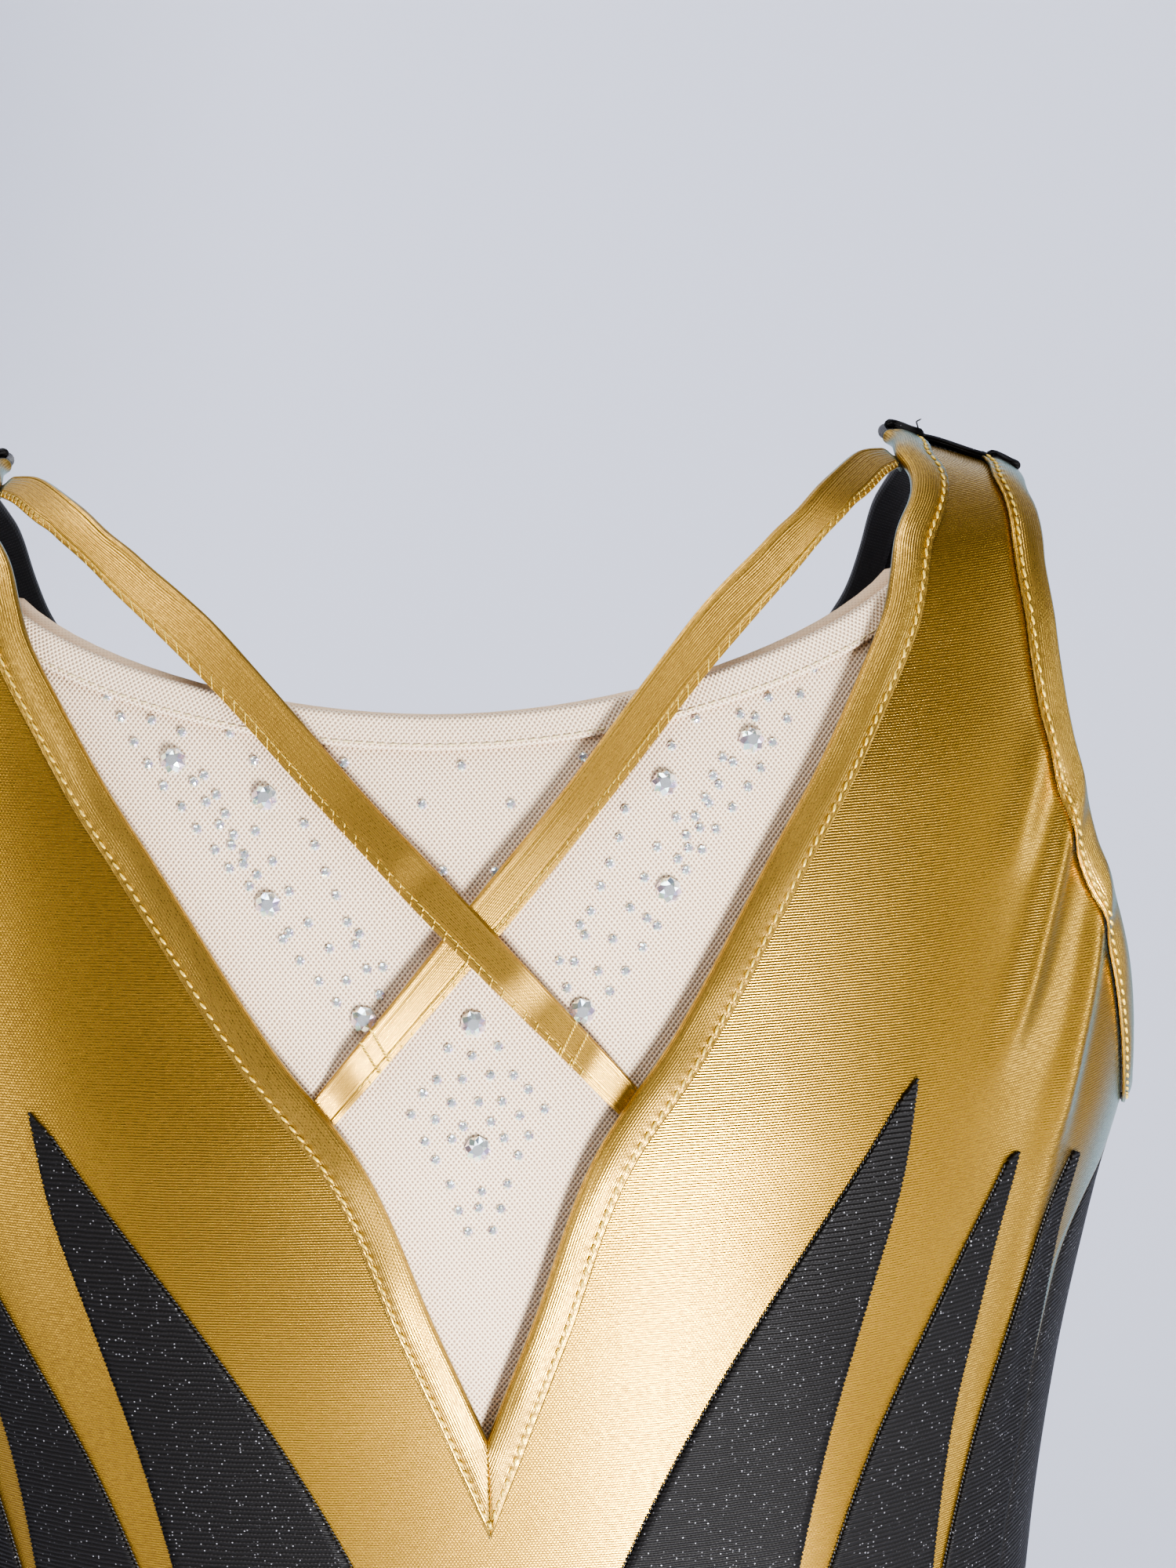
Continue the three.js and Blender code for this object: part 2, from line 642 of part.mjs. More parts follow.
// An eight-sided flat-back stone, with a flat table above slanting facets.
function stoneGeometry() {
  const ring = (radius, height, twist) => Array.from({ length: 8 }, (_, i) => {
    const angle = (i + twist) * Math.PI / 4;
    return new THREE.Vector3(radius * Math.cos(angle), radius * Math.sin(angle), height);
  });
  return new ConvexGeometry([
    ...ring(stoneRadius, 0, 0), ...ring(stoneRadius, 0.2 * stoneHeight, 0),
    ...ring(stoneRadius * stoneTableShare, stoneHeight, 0.5),
  ]);
}

// A turn, and a share of the way down to the point of the V, on the wearer's left.
const stoneSpots = [[0.257, 0.2595], [0.175, 0.2973], [0.175, 0.4081], [0.096, 0.5297]];
const centreStoneSpots = [[0, 0.5378], [0, 0.6703]];

function stonePlaces() {
  const place = ([turn, share]) => [turn, -share * neckDepth];
  return [...stoneSpots.map(place), ...stoneSpots.map((spot) => mirrorPlace(place(spot))),
    ...centreStoneSpots.map(place)];
}

// ---- The garment ----------------------------------------------------------------------

const goldFoil = { color: 0xa9822f, metalness: 0.85, roughness: 0.38 };
const goldBinding = { color: 0xb98f3a, metalness: 0.85, roughness: 0.42 };
const nudeMesh = { color: 0xe9d8c6, metalness: 0, roughness: 0.85 };
const nudeTricot = { color: 0xe3cdb8, metalness: 0, roughness: 0.9 };
const blackGlitter = { color: 0x17161a, metalness: 0.2, roughness: 0.5 };
const blackBinding = { color: 0x1b1a1d, metalness: 0.05, roughness: 0.6 };
const elasticWhite = { color: 0xe8e6e0, metalness: 0, roughness: 0.9 };
const crystal = { color: 0xdfe6ea, metalness: 0.4, roughness: 0.08 };

const garment = new THREE.Group();

function add(name, geometry, finish) {
  const mesh = new THREE.Mesh(geometry, new THREE.MeshStandardMaterial(finish));
  mesh.name = name;
  garment.add(mesh);
  return mesh;
}

add('front_bodice', frontBodice(), goldFoil);
add('front_lining', frontLining(), nudeTricot);
add('mesh_yoke', meshYoke(), nudeMesh);
add('mesh_yoke_hem', meshYokeHem(), nudeMesh);
add('lower_front_panel', lowerFrontPanel(), blackGlitter);
add('back_panel', backPanel(), blackGlitter);
add('gusset_lining', gussetLining(), nudeTricot);
add('cross_strap_left', crossStrap(false), goldBinding);
add('cross_strap_right', crossStrap(true), goldBinding);

const wholeBackNeck = [
  ...mirrorFrames(backNeckFrames), ...backNeckFrames.slice(0, -1).reverse(),
];
add('back_neck_binding', edging(wholeBackNeck, bindingSection), blackBinding);

for (const side of ['left', 'right']) {
  const placed = side === 'left' ? (frames) => frames : mirrorFrames;
  const halves = side === 'left' ? (cells) => cells : mirrorCells;
  add(`neck_binding_${side}`, edging(placed(neckBindingFrames), bindingSection), goldBinding);
  add(`armhole_binding_front_${side}`, edging(placed(armFrontFrames), bindingSection),
    goldBinding);
  add(`armhole_binding_back_${side}`, edging(placed(armBackFrames), bindingSection),
    blackBinding);
  add(`armhole_elastic_${side}`, edging(placed(armholeLoop), elasticSection, true),
    elasticWhite);
  add(`leg_binding_${side}`, edging(placed(legLoop), bindingSection, true), blackBinding);
  add(`leg_elastic_${side}`, edging(placed(legLoop), elasticSection, true), elasticWhite);
  add(`shoulder_seam_tape_${side}`, shoulderSeamTape(halves), nudeMesh);
  for (const [name, outline] of Object.entries(flames)) {
    add(`flame_${name}_${side}`, flame(outline, halves), blackGlitter);
  }
}

stonePlaces().forEach((place, i) => {
  const stone = add(`large_stone_${i + 1}`, stoneGeometry(), crystal);
  stone.position.copy(lifted(place, stoneLayer));
  stone.quaternion.setFromUnitVectors(new THREE.Vector3(0, 0, 1), outward(place));
});

export default garment;
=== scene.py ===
# %% [markdown]
# # A gold and black cheer leotard
#
# This lesson dresses a plain solid model of a sleeveless competition leotard. Every cloth panel lies
# on one rounded body form, so the whole garment can be worked out from that form: a place on it is a
# pair of numbers, and a piece of cloth is a grid of such places held a little way off the surface.

# %% Load the solid model as a fixed frame
import bmesh
import bpy
import numpy as np
from mathutils import Matrix, Vector


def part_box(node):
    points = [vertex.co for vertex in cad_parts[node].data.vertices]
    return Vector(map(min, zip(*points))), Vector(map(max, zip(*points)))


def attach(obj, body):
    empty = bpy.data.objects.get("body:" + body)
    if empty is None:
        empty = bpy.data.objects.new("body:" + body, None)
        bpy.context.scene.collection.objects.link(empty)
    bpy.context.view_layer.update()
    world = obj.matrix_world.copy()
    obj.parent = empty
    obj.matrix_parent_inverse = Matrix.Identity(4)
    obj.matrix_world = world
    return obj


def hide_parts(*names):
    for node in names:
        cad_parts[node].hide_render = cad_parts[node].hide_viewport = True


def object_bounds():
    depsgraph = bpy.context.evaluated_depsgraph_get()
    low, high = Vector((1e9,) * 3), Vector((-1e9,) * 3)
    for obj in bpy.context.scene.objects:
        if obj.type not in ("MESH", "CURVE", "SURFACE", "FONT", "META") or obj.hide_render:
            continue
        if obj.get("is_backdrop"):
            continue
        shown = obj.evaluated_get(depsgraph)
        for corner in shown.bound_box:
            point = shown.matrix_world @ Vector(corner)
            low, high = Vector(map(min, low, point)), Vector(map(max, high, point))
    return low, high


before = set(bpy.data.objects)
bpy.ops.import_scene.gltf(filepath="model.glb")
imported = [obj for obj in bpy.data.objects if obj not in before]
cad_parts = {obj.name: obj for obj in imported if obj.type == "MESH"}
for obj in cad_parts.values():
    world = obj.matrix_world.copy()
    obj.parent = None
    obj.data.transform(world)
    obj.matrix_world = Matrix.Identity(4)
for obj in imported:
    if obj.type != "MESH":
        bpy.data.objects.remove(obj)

for name in ("Cube", "Light", "Camera"):  # what a new file starts with
    if name in bpy.data.objects:
        bpy.data.objects.remove(bpy.data.objects[name])
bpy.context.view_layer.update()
print("solid model holds", len(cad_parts), "nodes")

# %% [markdown]
# ## Camera and studio
#
# The camera comes first, since it settles how large everything looks. It's a long lens about a metre
# away, a little above the shoulders. The backdrop is one sheet that curves from floor to wall, so no
# corner shows behind the garment.

# %% Camera
target = Vector((0.0235, -0.088, -0.0494))
azimuth, elevation, roll = np.radians(-2.5), np.radians(15), np.radians(-1.4)
away = Vector((np.sin(azimuth) * np.cos(elevation), -np.cos(azimuth) * np.cos(elevation),
               np.sin(elevation)))
right = away.cross(Vector((0, 0, 1))).normalized() * -1
up = away.cross(right)
right, up = (right * np.cos(roll) + up * np.sin(roll), up * np.cos(roll) - right * np.sin(roll))
turned = Matrix((right, up, away)).transposed()

lens = bpy.data.cameras.new("studio camera")
lens.lens, lens.sensor_width = 112.5, 36
lens.dof.use_dof = False
camera = bpy.data.objects.new("studio camera", lens)
camera.matrix_world = Matrix.Translation(target + away * 0.95) @ turned.to_4x4()
bpy.context.scene.collection.objects.link(camera)
bpy.context.scene.camera = camera
print("camera at", [round(value, 3) for value in camera.matrix_world.translation])

# %% [markdown]
# The backdrop is a sheet of pale paper, swept from the floor up the wall in a quarter circle. A flat wall
# and floor would do, but their corner would show in the foil.

# %% Backdrop


def studio_sweep():
    floor_z, wall_y, bend, half_width = -0.85, 1.5, 0.7, 3.2
    angle = np.linspace(0, np.pi / 2, 24)
    y = np.r_[-3.0, wall_y - bend + bend * np.sin(angle), wall_y]
    z = np.r_[floor_z, floor_z + bend - bend * np.cos(angle), 2.6]
    left = np.stack([np.full_like(y, -half_width), y, z], axis=-1)
    points = np.concatenate([left, left * [-1, 1, 1]])
    count = len(y)
    faces = [(k, k + count, k + count + 1, k + 1) for k in range(count - 1)]
    mesh = bpy.data.meshes.new("backdrop")
    mesh.from_pydata(points.tolist(), [], faces)
    mesh.polygons.foreach_set("use_smooth", np.ones(len(faces), bool))
    paper = bpy.data.materials.new("backdrop paper")
    paper.use_nodes = True
    shader = paper.node_tree.nodes["Principled BSDF"]
    shader.inputs["Base Color"].default_value = (0.66, 0.685, 0.80, 1)
    shader.inputs["Roughness"].default_value = 0.9
    mesh.materials.append(paper)
    sweep = bpy.data.objects.new("backdrop", mesh)
    bpy.context.scene.collection.objects.link(sweep)
    sweep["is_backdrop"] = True
    return sweep


backdrop = studio_sweep()
print("backdrop is", round(backdrop.dimensions.x, 1), "m wide")

# %% [markdown]
# ## The body form
#
# A worn leotard takes the body's shape, so the form comes first. Its level sections are rounded
# rectangles (superellipses) whose half width and depth change with height. A sculpted body would do
# as well, but a formula gives exact normals, and any cloth can then be laid on it at any fineness.
# Lengths here are in millimetres, as a pattern cutter has them, and become metres in the meshes.

# %% Sizes of the form
mm = 0.001

# height, half width, depth in front of the side line, depth behind it
stations = np.array([
    (8, 62, 26, 26), (0, 91, 34, 34), (-9.5, 118.5, 44, 43), (-20, 133, 52, 50),
    (-35, 141, 60, 58), (-60, 145, 71, 66), (-100, 145, 82, 74), (-130, 142, 88, 76),
    (-160, 134, 90, 75), (-200, 125.5, 88, 71), (-240, 120, 84, 67), (-295, 116, 79, 64),
    (-350, 120, 80, 76), (-400, 128, 84, 89), (-440, 132, 84, 92),
], float)[::-1]
section_power = 2.3
seat_height, seat_half_width = stations[0, 0], stations[0, 1]
crotch_height = -545
seat_drop = seat_height - crotch_height
crotch_run = seat_height - seat_drop * np.pi / 2
underarm_height, waist_height = -130, -295


def profile(column):
    """A monotone cubic through one column of the stations."""
    at, value = stations[:, 0], stations[:, column]
    step = np.diff(at)
    slope = np.diff(value) / step
    tangent = np.zeros(len(at))
    tangent[0], tangent[-1] = slope[0], slope[-1]
    for i in range(1, len(at) - 1):
        if slope[i - 1] * slope[i] > 0:
            near, far = 2 * step[i] + step[i - 1], step[i] + 2 * step[i - 1]
            tangent[i] = (near + far) / (near / slope[i - 1] + far / slope[i])

    def read(height):
        height = np.clip(height, at[0], at[-1])
        i = np.clip(np.searchsorted(at, height, side="right") - 1, 0, len(at) - 2)
        t = (height - at[i]) / step[i]
        return ((2 * t**3 - 3 * t**2 + 1) * value[i] + (t**3 - 2 * t**2 + t) * step[i] * tangent[i]
                + (3 * t**2 - 2 * t**3) * value[i + 1] + (t**3 - t**2) * step[i] * tangent[i + 1])
    return read


half_width_at, front_at, back_at = profile(1), profile(2), profile(3)
print("waist is about", round(2 * float(half_width_at(waist_height))), "mm wide")

# %% [markdown]
# A place on the form is (turn, run). The turn counts quarter turns from the centre front towards the
# wearer's left, and the run is the height; below the seat it goes on as the distance round the curve
# that closes the form between the legs. Arrays of places let one call work on a whole panel.

# %% Points and normals of the form


def surface(place):
    turn, run = np.moveaxis(np.asarray(place, float), -1, 0)
    angle = turn * np.pi / 2
    size = (abs(np.sin(angle))**section_power + abs(np.cos(angle))**section_power)**(-1 / section_power)
    across, ahead = np.sin(angle) * size, np.cos(angle) * size
    depth = np.where(ahead > 0, front_at(run), back_at(run))
    x = half_width_at(run) * across
    points = np.stack([x, -depth * ahead, run], axis=-1)
    low = run < seat_height
    if low.any():
        points[low] = seat_surface(x[low], ahead[low], depth[low], run[low])
    return points


def seat_surface(x, ahead, depth, run):
    sweep = (seat_height - run) / seat_drop
    forward = np.cos(sweep) * np.sign(ahead)
    level, drop = abs(forward) / depth, np.sin(sweep) / seat_drop
    cut = abs(x / seat_half_width)**section_power
    near, far = np.zeros_like(x), np.full_like(x, 2.0 * seat_drop)
    for _ in range(40):
        reach = (near + far) / 2
        over = (cut + (reach * level)**section_power)**(2 / section_power) + (reach * drop)**2 > 1
        near, far = np.where(over, near, reach), np.where(over, reach, far)
    return np.stack([x, -near * forward, seat_height - near * np.sin(sweep)], axis=-1)


def unit(vectors):
    return vectors / np.maximum(np.linalg.norm(vectors, axis=-1, keepdims=True), 1e-9)


turn_step, run_step = 0.004, 0.5


def slopes(place):
    place = np.asarray(place, float)
    along_turn = surface(place + [turn_step, 0]) - surface(place - [turn_step, 0])
    along_run = surface(place + [0, run_step]) - surface(place - [0, run_step])
    return along_turn / (2 * turn_step), along_run / (2 * run_step)


def outward(place):
    return unit(np.cross(*slopes(place)))


def walk(place, direction, distance):
    """The place reached by walking along the form in a direction, by a distance."""
    here = np.array(place, float)
    distance = np.broadcast_to(distance, here.shape[:-1])[..., None]
    for _ in range(2):
        a, b = slopes(here)
        move = direction * distance / 2
        aa, ab, bb = (a * a).sum(-1), (a * b).sum(-1), (b * b).sum(-1)
        ma, mb = (move * a).sum(-1), (move * b).sum(-1)
        det = aa * bb - ab * ab
        here = here + np.stack([(ma * bb - mb * ab) / det, (mb * aa - ma * ab) / det], axis=-1)
    return here


print("front of the waist at", surface([0, waist_height]).round(1))

# %% [markdown]
# Stretch cloth isn't perfectly smooth: it drags in soft ridges from the underarm, where the body
# pulls on it. Each ridge here is a long soft bump between two places, added to the distance of every
# layer from the form, so that bindings, flames and stitches ride over the same folds.

# %% Drag folds as a height over the form
turn_length = 130  # one quarter turn, about, in millimetres

# from place, to place, half width and height, on the wearer's left
folds = [
    ((0.618, -64), (0.500, -118), 2.6, 2.0),
    ((0.665, -86), (0.588, -138), 2.8, 2.1),
    ((0.600, -126), (0.590, -205), 3.4, 1.3),
    ((0.568, -54), (0.512, -80), 3.0, 1.0),
    ((0.30, -150), (0.36, -240), 9.0, 0.6),
]


def relief(place):
    turn, run = np.moveaxis(np.asarray(place, float), -1, 0)
    total = np.zeros(turn.shape)
    for side in (1, -1):
        flat = np.stack([side * turn * turn_length, run], axis=-1)
        for start, end, half_width, height in folds:
            start = np.array([start[0] * turn_length, start[1]])
            span = np.array([end[0] * turn_length, end[1]]) - start
            length = np.hypot(*span)
            along = (flat - start) @ span / length**2
            off = (flat - start) @ np.array([-span[1], span[0]]) / length
            fade = np.clip(along + 0.15, 0, 1) * np.clip(1.1 - along, 0, 1) * 3
            ridge = np.exp(-(off / half_width)**2) * np.clip(fade, 0, 1)
            total += (height if side == 1 else 0.7 * height) * ridge
    return total


def lifted(place, offset):
    """Points held off the form, in millimetres, along its normal and over the folds."""
    offset = np.asarray(offset, float) + relief(place)
    return surface(place) + outward(place) * offset[..., None]


print("folds from the underarm:", len(folds))

# %% [markdown]
# ## Lines of the cut
#
# Every edge and seam is a smooth line through a few places. A centripetal spline keeps tight corners
# from looping, and reading it by share of its length spaces the mesh evenly along it.

# %% Smooth lines and directions along them
points_per_span = 64


def line(places):
    """A curve through the places. Its function gives the places at shares of its length."""
    points = np.array(places, float) * [turn_length, 1]
    points = np.vstack([2 * points[0] - points[1], points, 2 * points[-1] - points[-2]])
    t = np.linspace(0, 1, points_per_span, endpoint=False)[:, None]
    dense = []
    for a, b, c, d in zip(points, points[1:], points[2:], points[3:]):
        ab, bc, cd = (np.sqrt(np.hypot(*(q - p))) for p, q in ((a, b), (b, c), (c, d)))
        leave = ((b - a) / ab - (c - a) / (ab + bc) + (c - b) / bc) * bc
        arrive = ((c - b) / bc - (d - b) / (bc + cd) + (d - c) / cd) * bc
        dense.append((2 * t**3 - 3 * t**2 + 1) * b + (t**3 - 2 * t**2 + t) * leave
                     + (3 * t**2 - 2 * t**3) * c + (t**3 - t**2) * arrive)
    dense = np.vstack([*dense, points[-2]])
    length = np.r_[0, np.cumsum(np.hypot(*np.diff(dense, axis=0).T))]
    length /= length[-1]

    def read(share):
        return np.stack([np.interp(share, length, dense[:, 0]) / turn_length,
                         np.interp(share, length, dense[:, 1])], axis=-1)
    return read


def sampled(curve, count, start=0, end=1):
    return curve(np.linspace(start, end, count + 1))


def share_where(curve, test):
    """The first share of the curve whose place passes the test."""
    shares = np.linspace(0, 1, 2001)
    return shares[np.argmax([test(place) for place in curve(shares)])]


def turn_across(across):
    """The turn at which the form is a share, across, of its half width."""
    ahead = (1 - across**section_power)**(1 / section_power)
    return np.arctan2(across, ahead) * 2 / np.pi


def mirror(places):
    return np.asarray(places) * [-1, 1]


def inward(places, side, closed=False, first=None, last=None):
    """Unit directions, along the form, from an edge into the cloth on its left (1) or right (-1)."""
    points = surface(places)
    if closed:
        tangent = np.roll(points, -1, axis=0) - np.roll(points, 1, axis=0)
    else:
        tangent = np.gradient(points, axis=0)
    into = unit(np.cross(outward(places), unit(tangent))) * side
    if first is not None:
        into[0] = first
    if last is not None:
        into[-1] = last
    return into


# %% [markdown]
# The edges and seams are drawn for one side and mirrored. Each place is a turn round the body, with 0 at
# the centre front and 2 at the centre back, and a height. The depths are named, so a deeper neck takes
# its whole line with it.

# %% The garment's edges and seams, on the wearer's left
neck_depth, yoke_depth, yoke_sag = 185, 39.5, 22.9
back_neck_depth, armhole_depth = 104, 136
crotch_half_width, leg_cut_height = 30, -390
waist_seam = waist_height - 22
shoulder_turn = 0.005
shoulder_height = -9.5


def scaled(depth, places):
    return [(turn, share * depth) for turn, share in places]


neck_line = line([(1 - shoulder_turn, 0), *scaled(neck_depth, [
    (0.73, -0.014), (0.48, -0.072), (0.4, -0.155), (0.289, -0.336), (0.176, -0.557),
    (0.102, -0.685), (0.048, -0.86), (0, -1)])])
back_neck_line = line([(1 + shoulder_turn, 0), *scaled(back_neck_depth, [
    (1.27, -0.025), (1.52, -0.18), (1.61, -0.46), (1.73, -0.79), (1.87, -0.96), (2, -1)])])
armhole_low = (0.9, -armhole_depth)
armhole_front = line([(1 - shoulder_turn, shoulder_height), *scaled(armhole_depth, [
    (0.8, -0.09), (0.66, -0.165), (0.614, -0.34), (0.645, -0.53), (0.715, -0.705),
    (0.78, -0.87), (0.835, -0.97)]), armhole_low])
armhole_back = line([(1 + shoulder_turn, shoulder_height), *scaled(armhole_depth, [
    (1.2, -0.095), (1.33, -0.19), (1.37, -0.38), (1.32, -0.62), (1.2, -0.83),
    (1.04, -0.97)]), armhole_low])
waist_side, leg_top = (0.66, waist_seam), (0.83, leg_cut_height)
side_seam_upper = line([armhole_low, (0.84, underarm_height - 18), (0.75, underarm_height - 26),
                        (0.7, -165), (0.686, -186), (0.67, -240), waist_side])
side_seam_lower = line([waist_side, (0.7, -355), leg_top])
crotch_turn = turn_across(crotch_half_width / seat_half_width)
leg_front = line([leg_top, (0.76, leg_cut_height - 4), (0.64, seat_height + 18),
                  (0.44, seat_height - 22), (0.27, seat_height - 70),
                  (crotch_turn + 0.025, crotch_run + 42), (crotch_turn, crotch_run)])
leg_back = line([leg_top, (0.93, leg_cut_height - 1.5), (1.05, leg_cut_height - 9),
                 (1.17, leg_cut_height - 22), (1.28, seat_height + 10), (1.37, seat_height - 4),
                 (1.45, seat_height - 26), (1.54, seat_height - 58), (1.72, seat_height - 106),
                 (1.85, crotch_run + 24), (2 - crotch_turn, crotch_run)])
print("the V reaches", neck_depth, "mm below the shoulder seam")

# %% [markdown]
# ## Cloth as closed shells
#
# Real cloth has two faces and an edge, so each panel is a closed shell rather than a single sheet of
# faces. Places that meet become one point, and an edge that only one cell has gets a narrow wall. The
# two faces have their own materials, because the back of a foil knit isn't shiny. Each point keeps its
# distances round the body and up it as UV, in metres, so that a knit follows the cloth.

# %% Distances over the form, for the UV maps
table_turns = np.linspace(-2, 2, 321)
table_runs = np.linspace(crotch_run - 60, 8, 180)
table_points = surface(np.stack(np.meshgrid(table_turns, table_runs), axis=-1))
round_steps = np.linalg.norm(np.diff(table_points, axis=1), axis=-1)
up_steps = np.linalg.norm(np.diff(table_points, axis=0), axis=-1)
round_table = np.pad(np.cumsum(round_steps, axis=1), ((0, 0), (1, 0)))
round_table -= round_table[:, [len(table_turns) // 2]]
up_table = np.pad(np.cumsum(up_steps, axis=0), ((1, 0), (0, 0)))
up_table -= up_table[[np.argmin(abs(table_runs - waist_height))], :]


def cloth_distances(places):
    """Distance round the body and up it, in metres, by reading the two tables."""
    turn = (places[..., 0] + 2) / 4 * (len(table_turns) - 1)
    run = (places[..., 1] - table_runs[0]) / np.ptp(table_runs) * (len(table_runs) - 1)
    i = np.clip(turn.astype(int), 0, len(table_turns) - 2)
    j = np.clip(run.astype(int), 0, len(table_runs) - 2)
    s, t = turn - i, run - j

    def read(table):
        return ((table[j, i] * (1 - s) + table[j, i + 1] * s) * (1 - t)
                + (table[j + 1, i] * (1 - s) + table[j + 1, i + 1] * s) * t)
    return np.stack([read(round_table), read(up_table)], axis=-1) * mm


# %% [markdown]
# The helpers close a grid of cloth into a shell, carry a folded section along an edge, and thicken a
# centre line into such a section. A Solidify modifier would be shorter, but this way the walls and the
# section's UVs stay under the script's control.

# %% Helpers that make a mesh


def make_piece(name, points, faces, corner_uv, materials, face_material=None):
    """A mesh object in metres. corner_uv has a pair for every corner of every face."""
    mesh = bpy.data.meshes.new(name)
    mesh.from_pydata((np.asarray(points) * mm).tolist(), [], np.asarray(faces).tolist())
    layer = mesh.uv_layers.new(name="cloth")
    layer.data.foreach_set("uv", np.asarray(corner_uv, np.float32).ravel())
    for material in materials:
        mesh.materials.append(material)
    if face_material is not None:
        mesh.polygons.foreach_set("material_index", np.asarray(face_material, np.int32))
    mesh.polygons.foreach_set("use_smooth", np.ones(len(mesh.polygons), bool))
    mesh.update()
    piece = bpy.data.objects.new(name, mesh)
    bpy.context.scene.collection.objects.link(piece)
    return piece


def turned_out(points, faces, corner_uv):
    """The faces and their UVs, all reversed if the volume they close is negative."""
    a, b, c, d = (points[faces[:, k]] for k in range(4))
    volume = (a * np.cross(b, c)).sum() + (a * np.cross(c, d)).sum()
    return (faces[:, ::-1], corner_uv[:, ::-1]) if volume < 0 else (faces, corner_uv)


def cells_of(grid):
    """The four-sided cells of a grid of places, as (number, 4, 2)."""
    return np.stack([grid[:-1, :-1], grid[:-1, 1:], grid[1:, 1:], grid[1:, :-1]],
                    axis=2).reshape(-1, 4, 2)


def cloth_shell(name, grids, inner, thickness, face, reverse):
    """A closed shell of cloth over grids of places. inner is the inner face's distance off the
    form, a number or a function of places."""
    cells = np.vstack([cells_of(grid) for grid in grids])
    keys = np.round(surface(cells) * 50).astype(int).reshape(-1, 3)
    _, first, index = np.unique(keys, axis=0, return_index=True, return_inverse=True)
    places = cells.reshape(-1, 2)[first]
    quads = index.reshape(-1, 4)
    whole = np.array([len(set(q)) == 4 for q in quads.tolist()])
    quads, cell_uv = quads[whole], cloth_distances(cells[whole])
    edges = np.stack([quads, np.roll(quads, -1, axis=1)], axis=-1).reshape(-1, 2)
    edge_uv = np.stack([cell_uv, np.roll(cell_uv, -1, axis=1)], axis=2).reshape(-1, 2, 2)
    code = np.sort(edges, axis=1) @ [len(places), 1]
    _, which, count = np.unique(code, return_index=True, return_counts=True)
    rim, rim_uv = edges[which[count == 1]], edge_uv[which[count == 1]]
    start = inner(places) if callable(inner) else np.full(len(places), float(inner))
    points = np.vstack([lifted(places, start), lifted(places, start + thickness)])
    top = len(places)
    walls = np.stack([rim[:, 1], rim[:, 0], rim[:, 0] + top, rim[:, 1] + top], axis=1)
    wall_uv = rim_uv[:, [1, 0, 0, 1]]
    faces = np.vstack([quads, quads[:, ::-1] + top, walls])
    faces, uv = turned_out(points, faces, np.vstack([cell_uv, cell_uv[:, ::-1], wall_uv]))
    side = np.r_[np.ones(len(quads), int), np.zeros(len(quads) + len(walls), int)]
    return make_piece(name, points, faces, uv, [face, reverse], side)


def edging(name, frames, section, materials, closed=False):
    """A ring-shaped section carried along an edge. frames is (places, directions into the cloth,
    stretches); section(distances along) gives, for every step, rows of (distance in, height)."""
    places, into, stretch = frames
    seam = lifted(walk(places, into, stitch_inset * stretch), 0)
    ahead = np.roll(seam, -1, axis=0) if closed else seam[1:]
    steps = np.linalg.norm(ahead - seam[:len(ahead)], axis=1)
    along = np.r_[0, np.cumsum(steps)]
    rings = section(along[:len(places)])
    count, size = rings.shape[:2]
    base = np.repeat(places[:, None], size, axis=1)
    direction = np.repeat(into[:, None], size, axis=1)
    distance = rings[..., 0] * stretch[:, None]
    points = lifted(walk(base, direction, distance), rings[..., 1]).reshape(-1, 3)
    profile_steps = np.linalg.norm(np.diff(rings[0], axis=0, append=rings[0][:1]), axis=1)
    across = np.r_[0, np.cumsum(profile_steps)]
    i, j = np.meshgrid(np.arange(count if closed else count - 1), np.arange(size), indexing="ij")
    after, beside = (i + 1) % count, (j + 1) % size
    faces = np.stack([i * size + j, i * size + beside, after * size + beside, after * size + j],
                     axis=-1).reshape(-1, 4)
    corner = [(i, j), (i, j + 1), (i + 1, j + 1), (i + 1, j)]
    uv = np.stack([np.stack([along[p], across[q]], -1) for p, q in corner], axis=2)
    uv = uv.reshape(-1, 4, 2) * mm
    if not closed:
        cap = np.arange(size // 2 - 1)
        start = np.stack([cap, cap + 1, size - 2 - cap, size - 1 - cap], axis=1)
        faces = np.vstack([faces, start[:, ::-1], start + (count - 1) * size])
        uv = np.vstack([uv, np.zeros((2 * len(cap), 4, 2))])
    return make_piece(name, points, *turned_out(points, faces, uv), materials)


def band(centre, thickness):
    """A closed section round a centre line, both as rows of (distance in, height)."""
    centre = np.asarray(centre, float)
    tangent = unit(np.gradient(centre, axis=-2))
    side = np.stack([-tangent[..., 1], tangent[..., 0]], axis=-1)
    offset = np.broadcast_to(thickness, centre.shape[:-1])[..., None] / 2
    return np.concatenate([centre + side * offset, (centre - side * offset)[..., ::-1, :]], axis=-2)


print("from centre front to centre back is", round(float(round_table.max())), "mm of cloth")

# %% [markdown]
# ## Materials
#
# All the finishes are node trees. Writing shader maths node by node is slow to read, so one small
# class wraps a socket and turns +, -, * and / into Math nodes, and one method adds any other node.

# %% A little language for shader nodes


class Value:
    def __init__(self, shader, socket):
        self.shader, self.socket = shader, socket

    def maths(self, operation, *others):
        return self.shader.node("ShaderNodeMath", {"operation": operation},
                                dict(enumerate([self, *others])))

    def __add__(self, other):
        return self.maths("ADD", other)

    def __sub__(self, other):
        return self.maths("SUBTRACT", other)

    def __rsub__(self, other):
        return self.shader.number(other).maths("SUBTRACT", self)

    def __mul__(self, other):
        return self.maths("MULTIPLY", other)

    def __truediv__(self, other):
        return self.maths("DIVIDE", other)

    def __pow__(self, other):
        return self.maths("POWER", other)

    __radd__, __rmul__ = __add__, __mul__


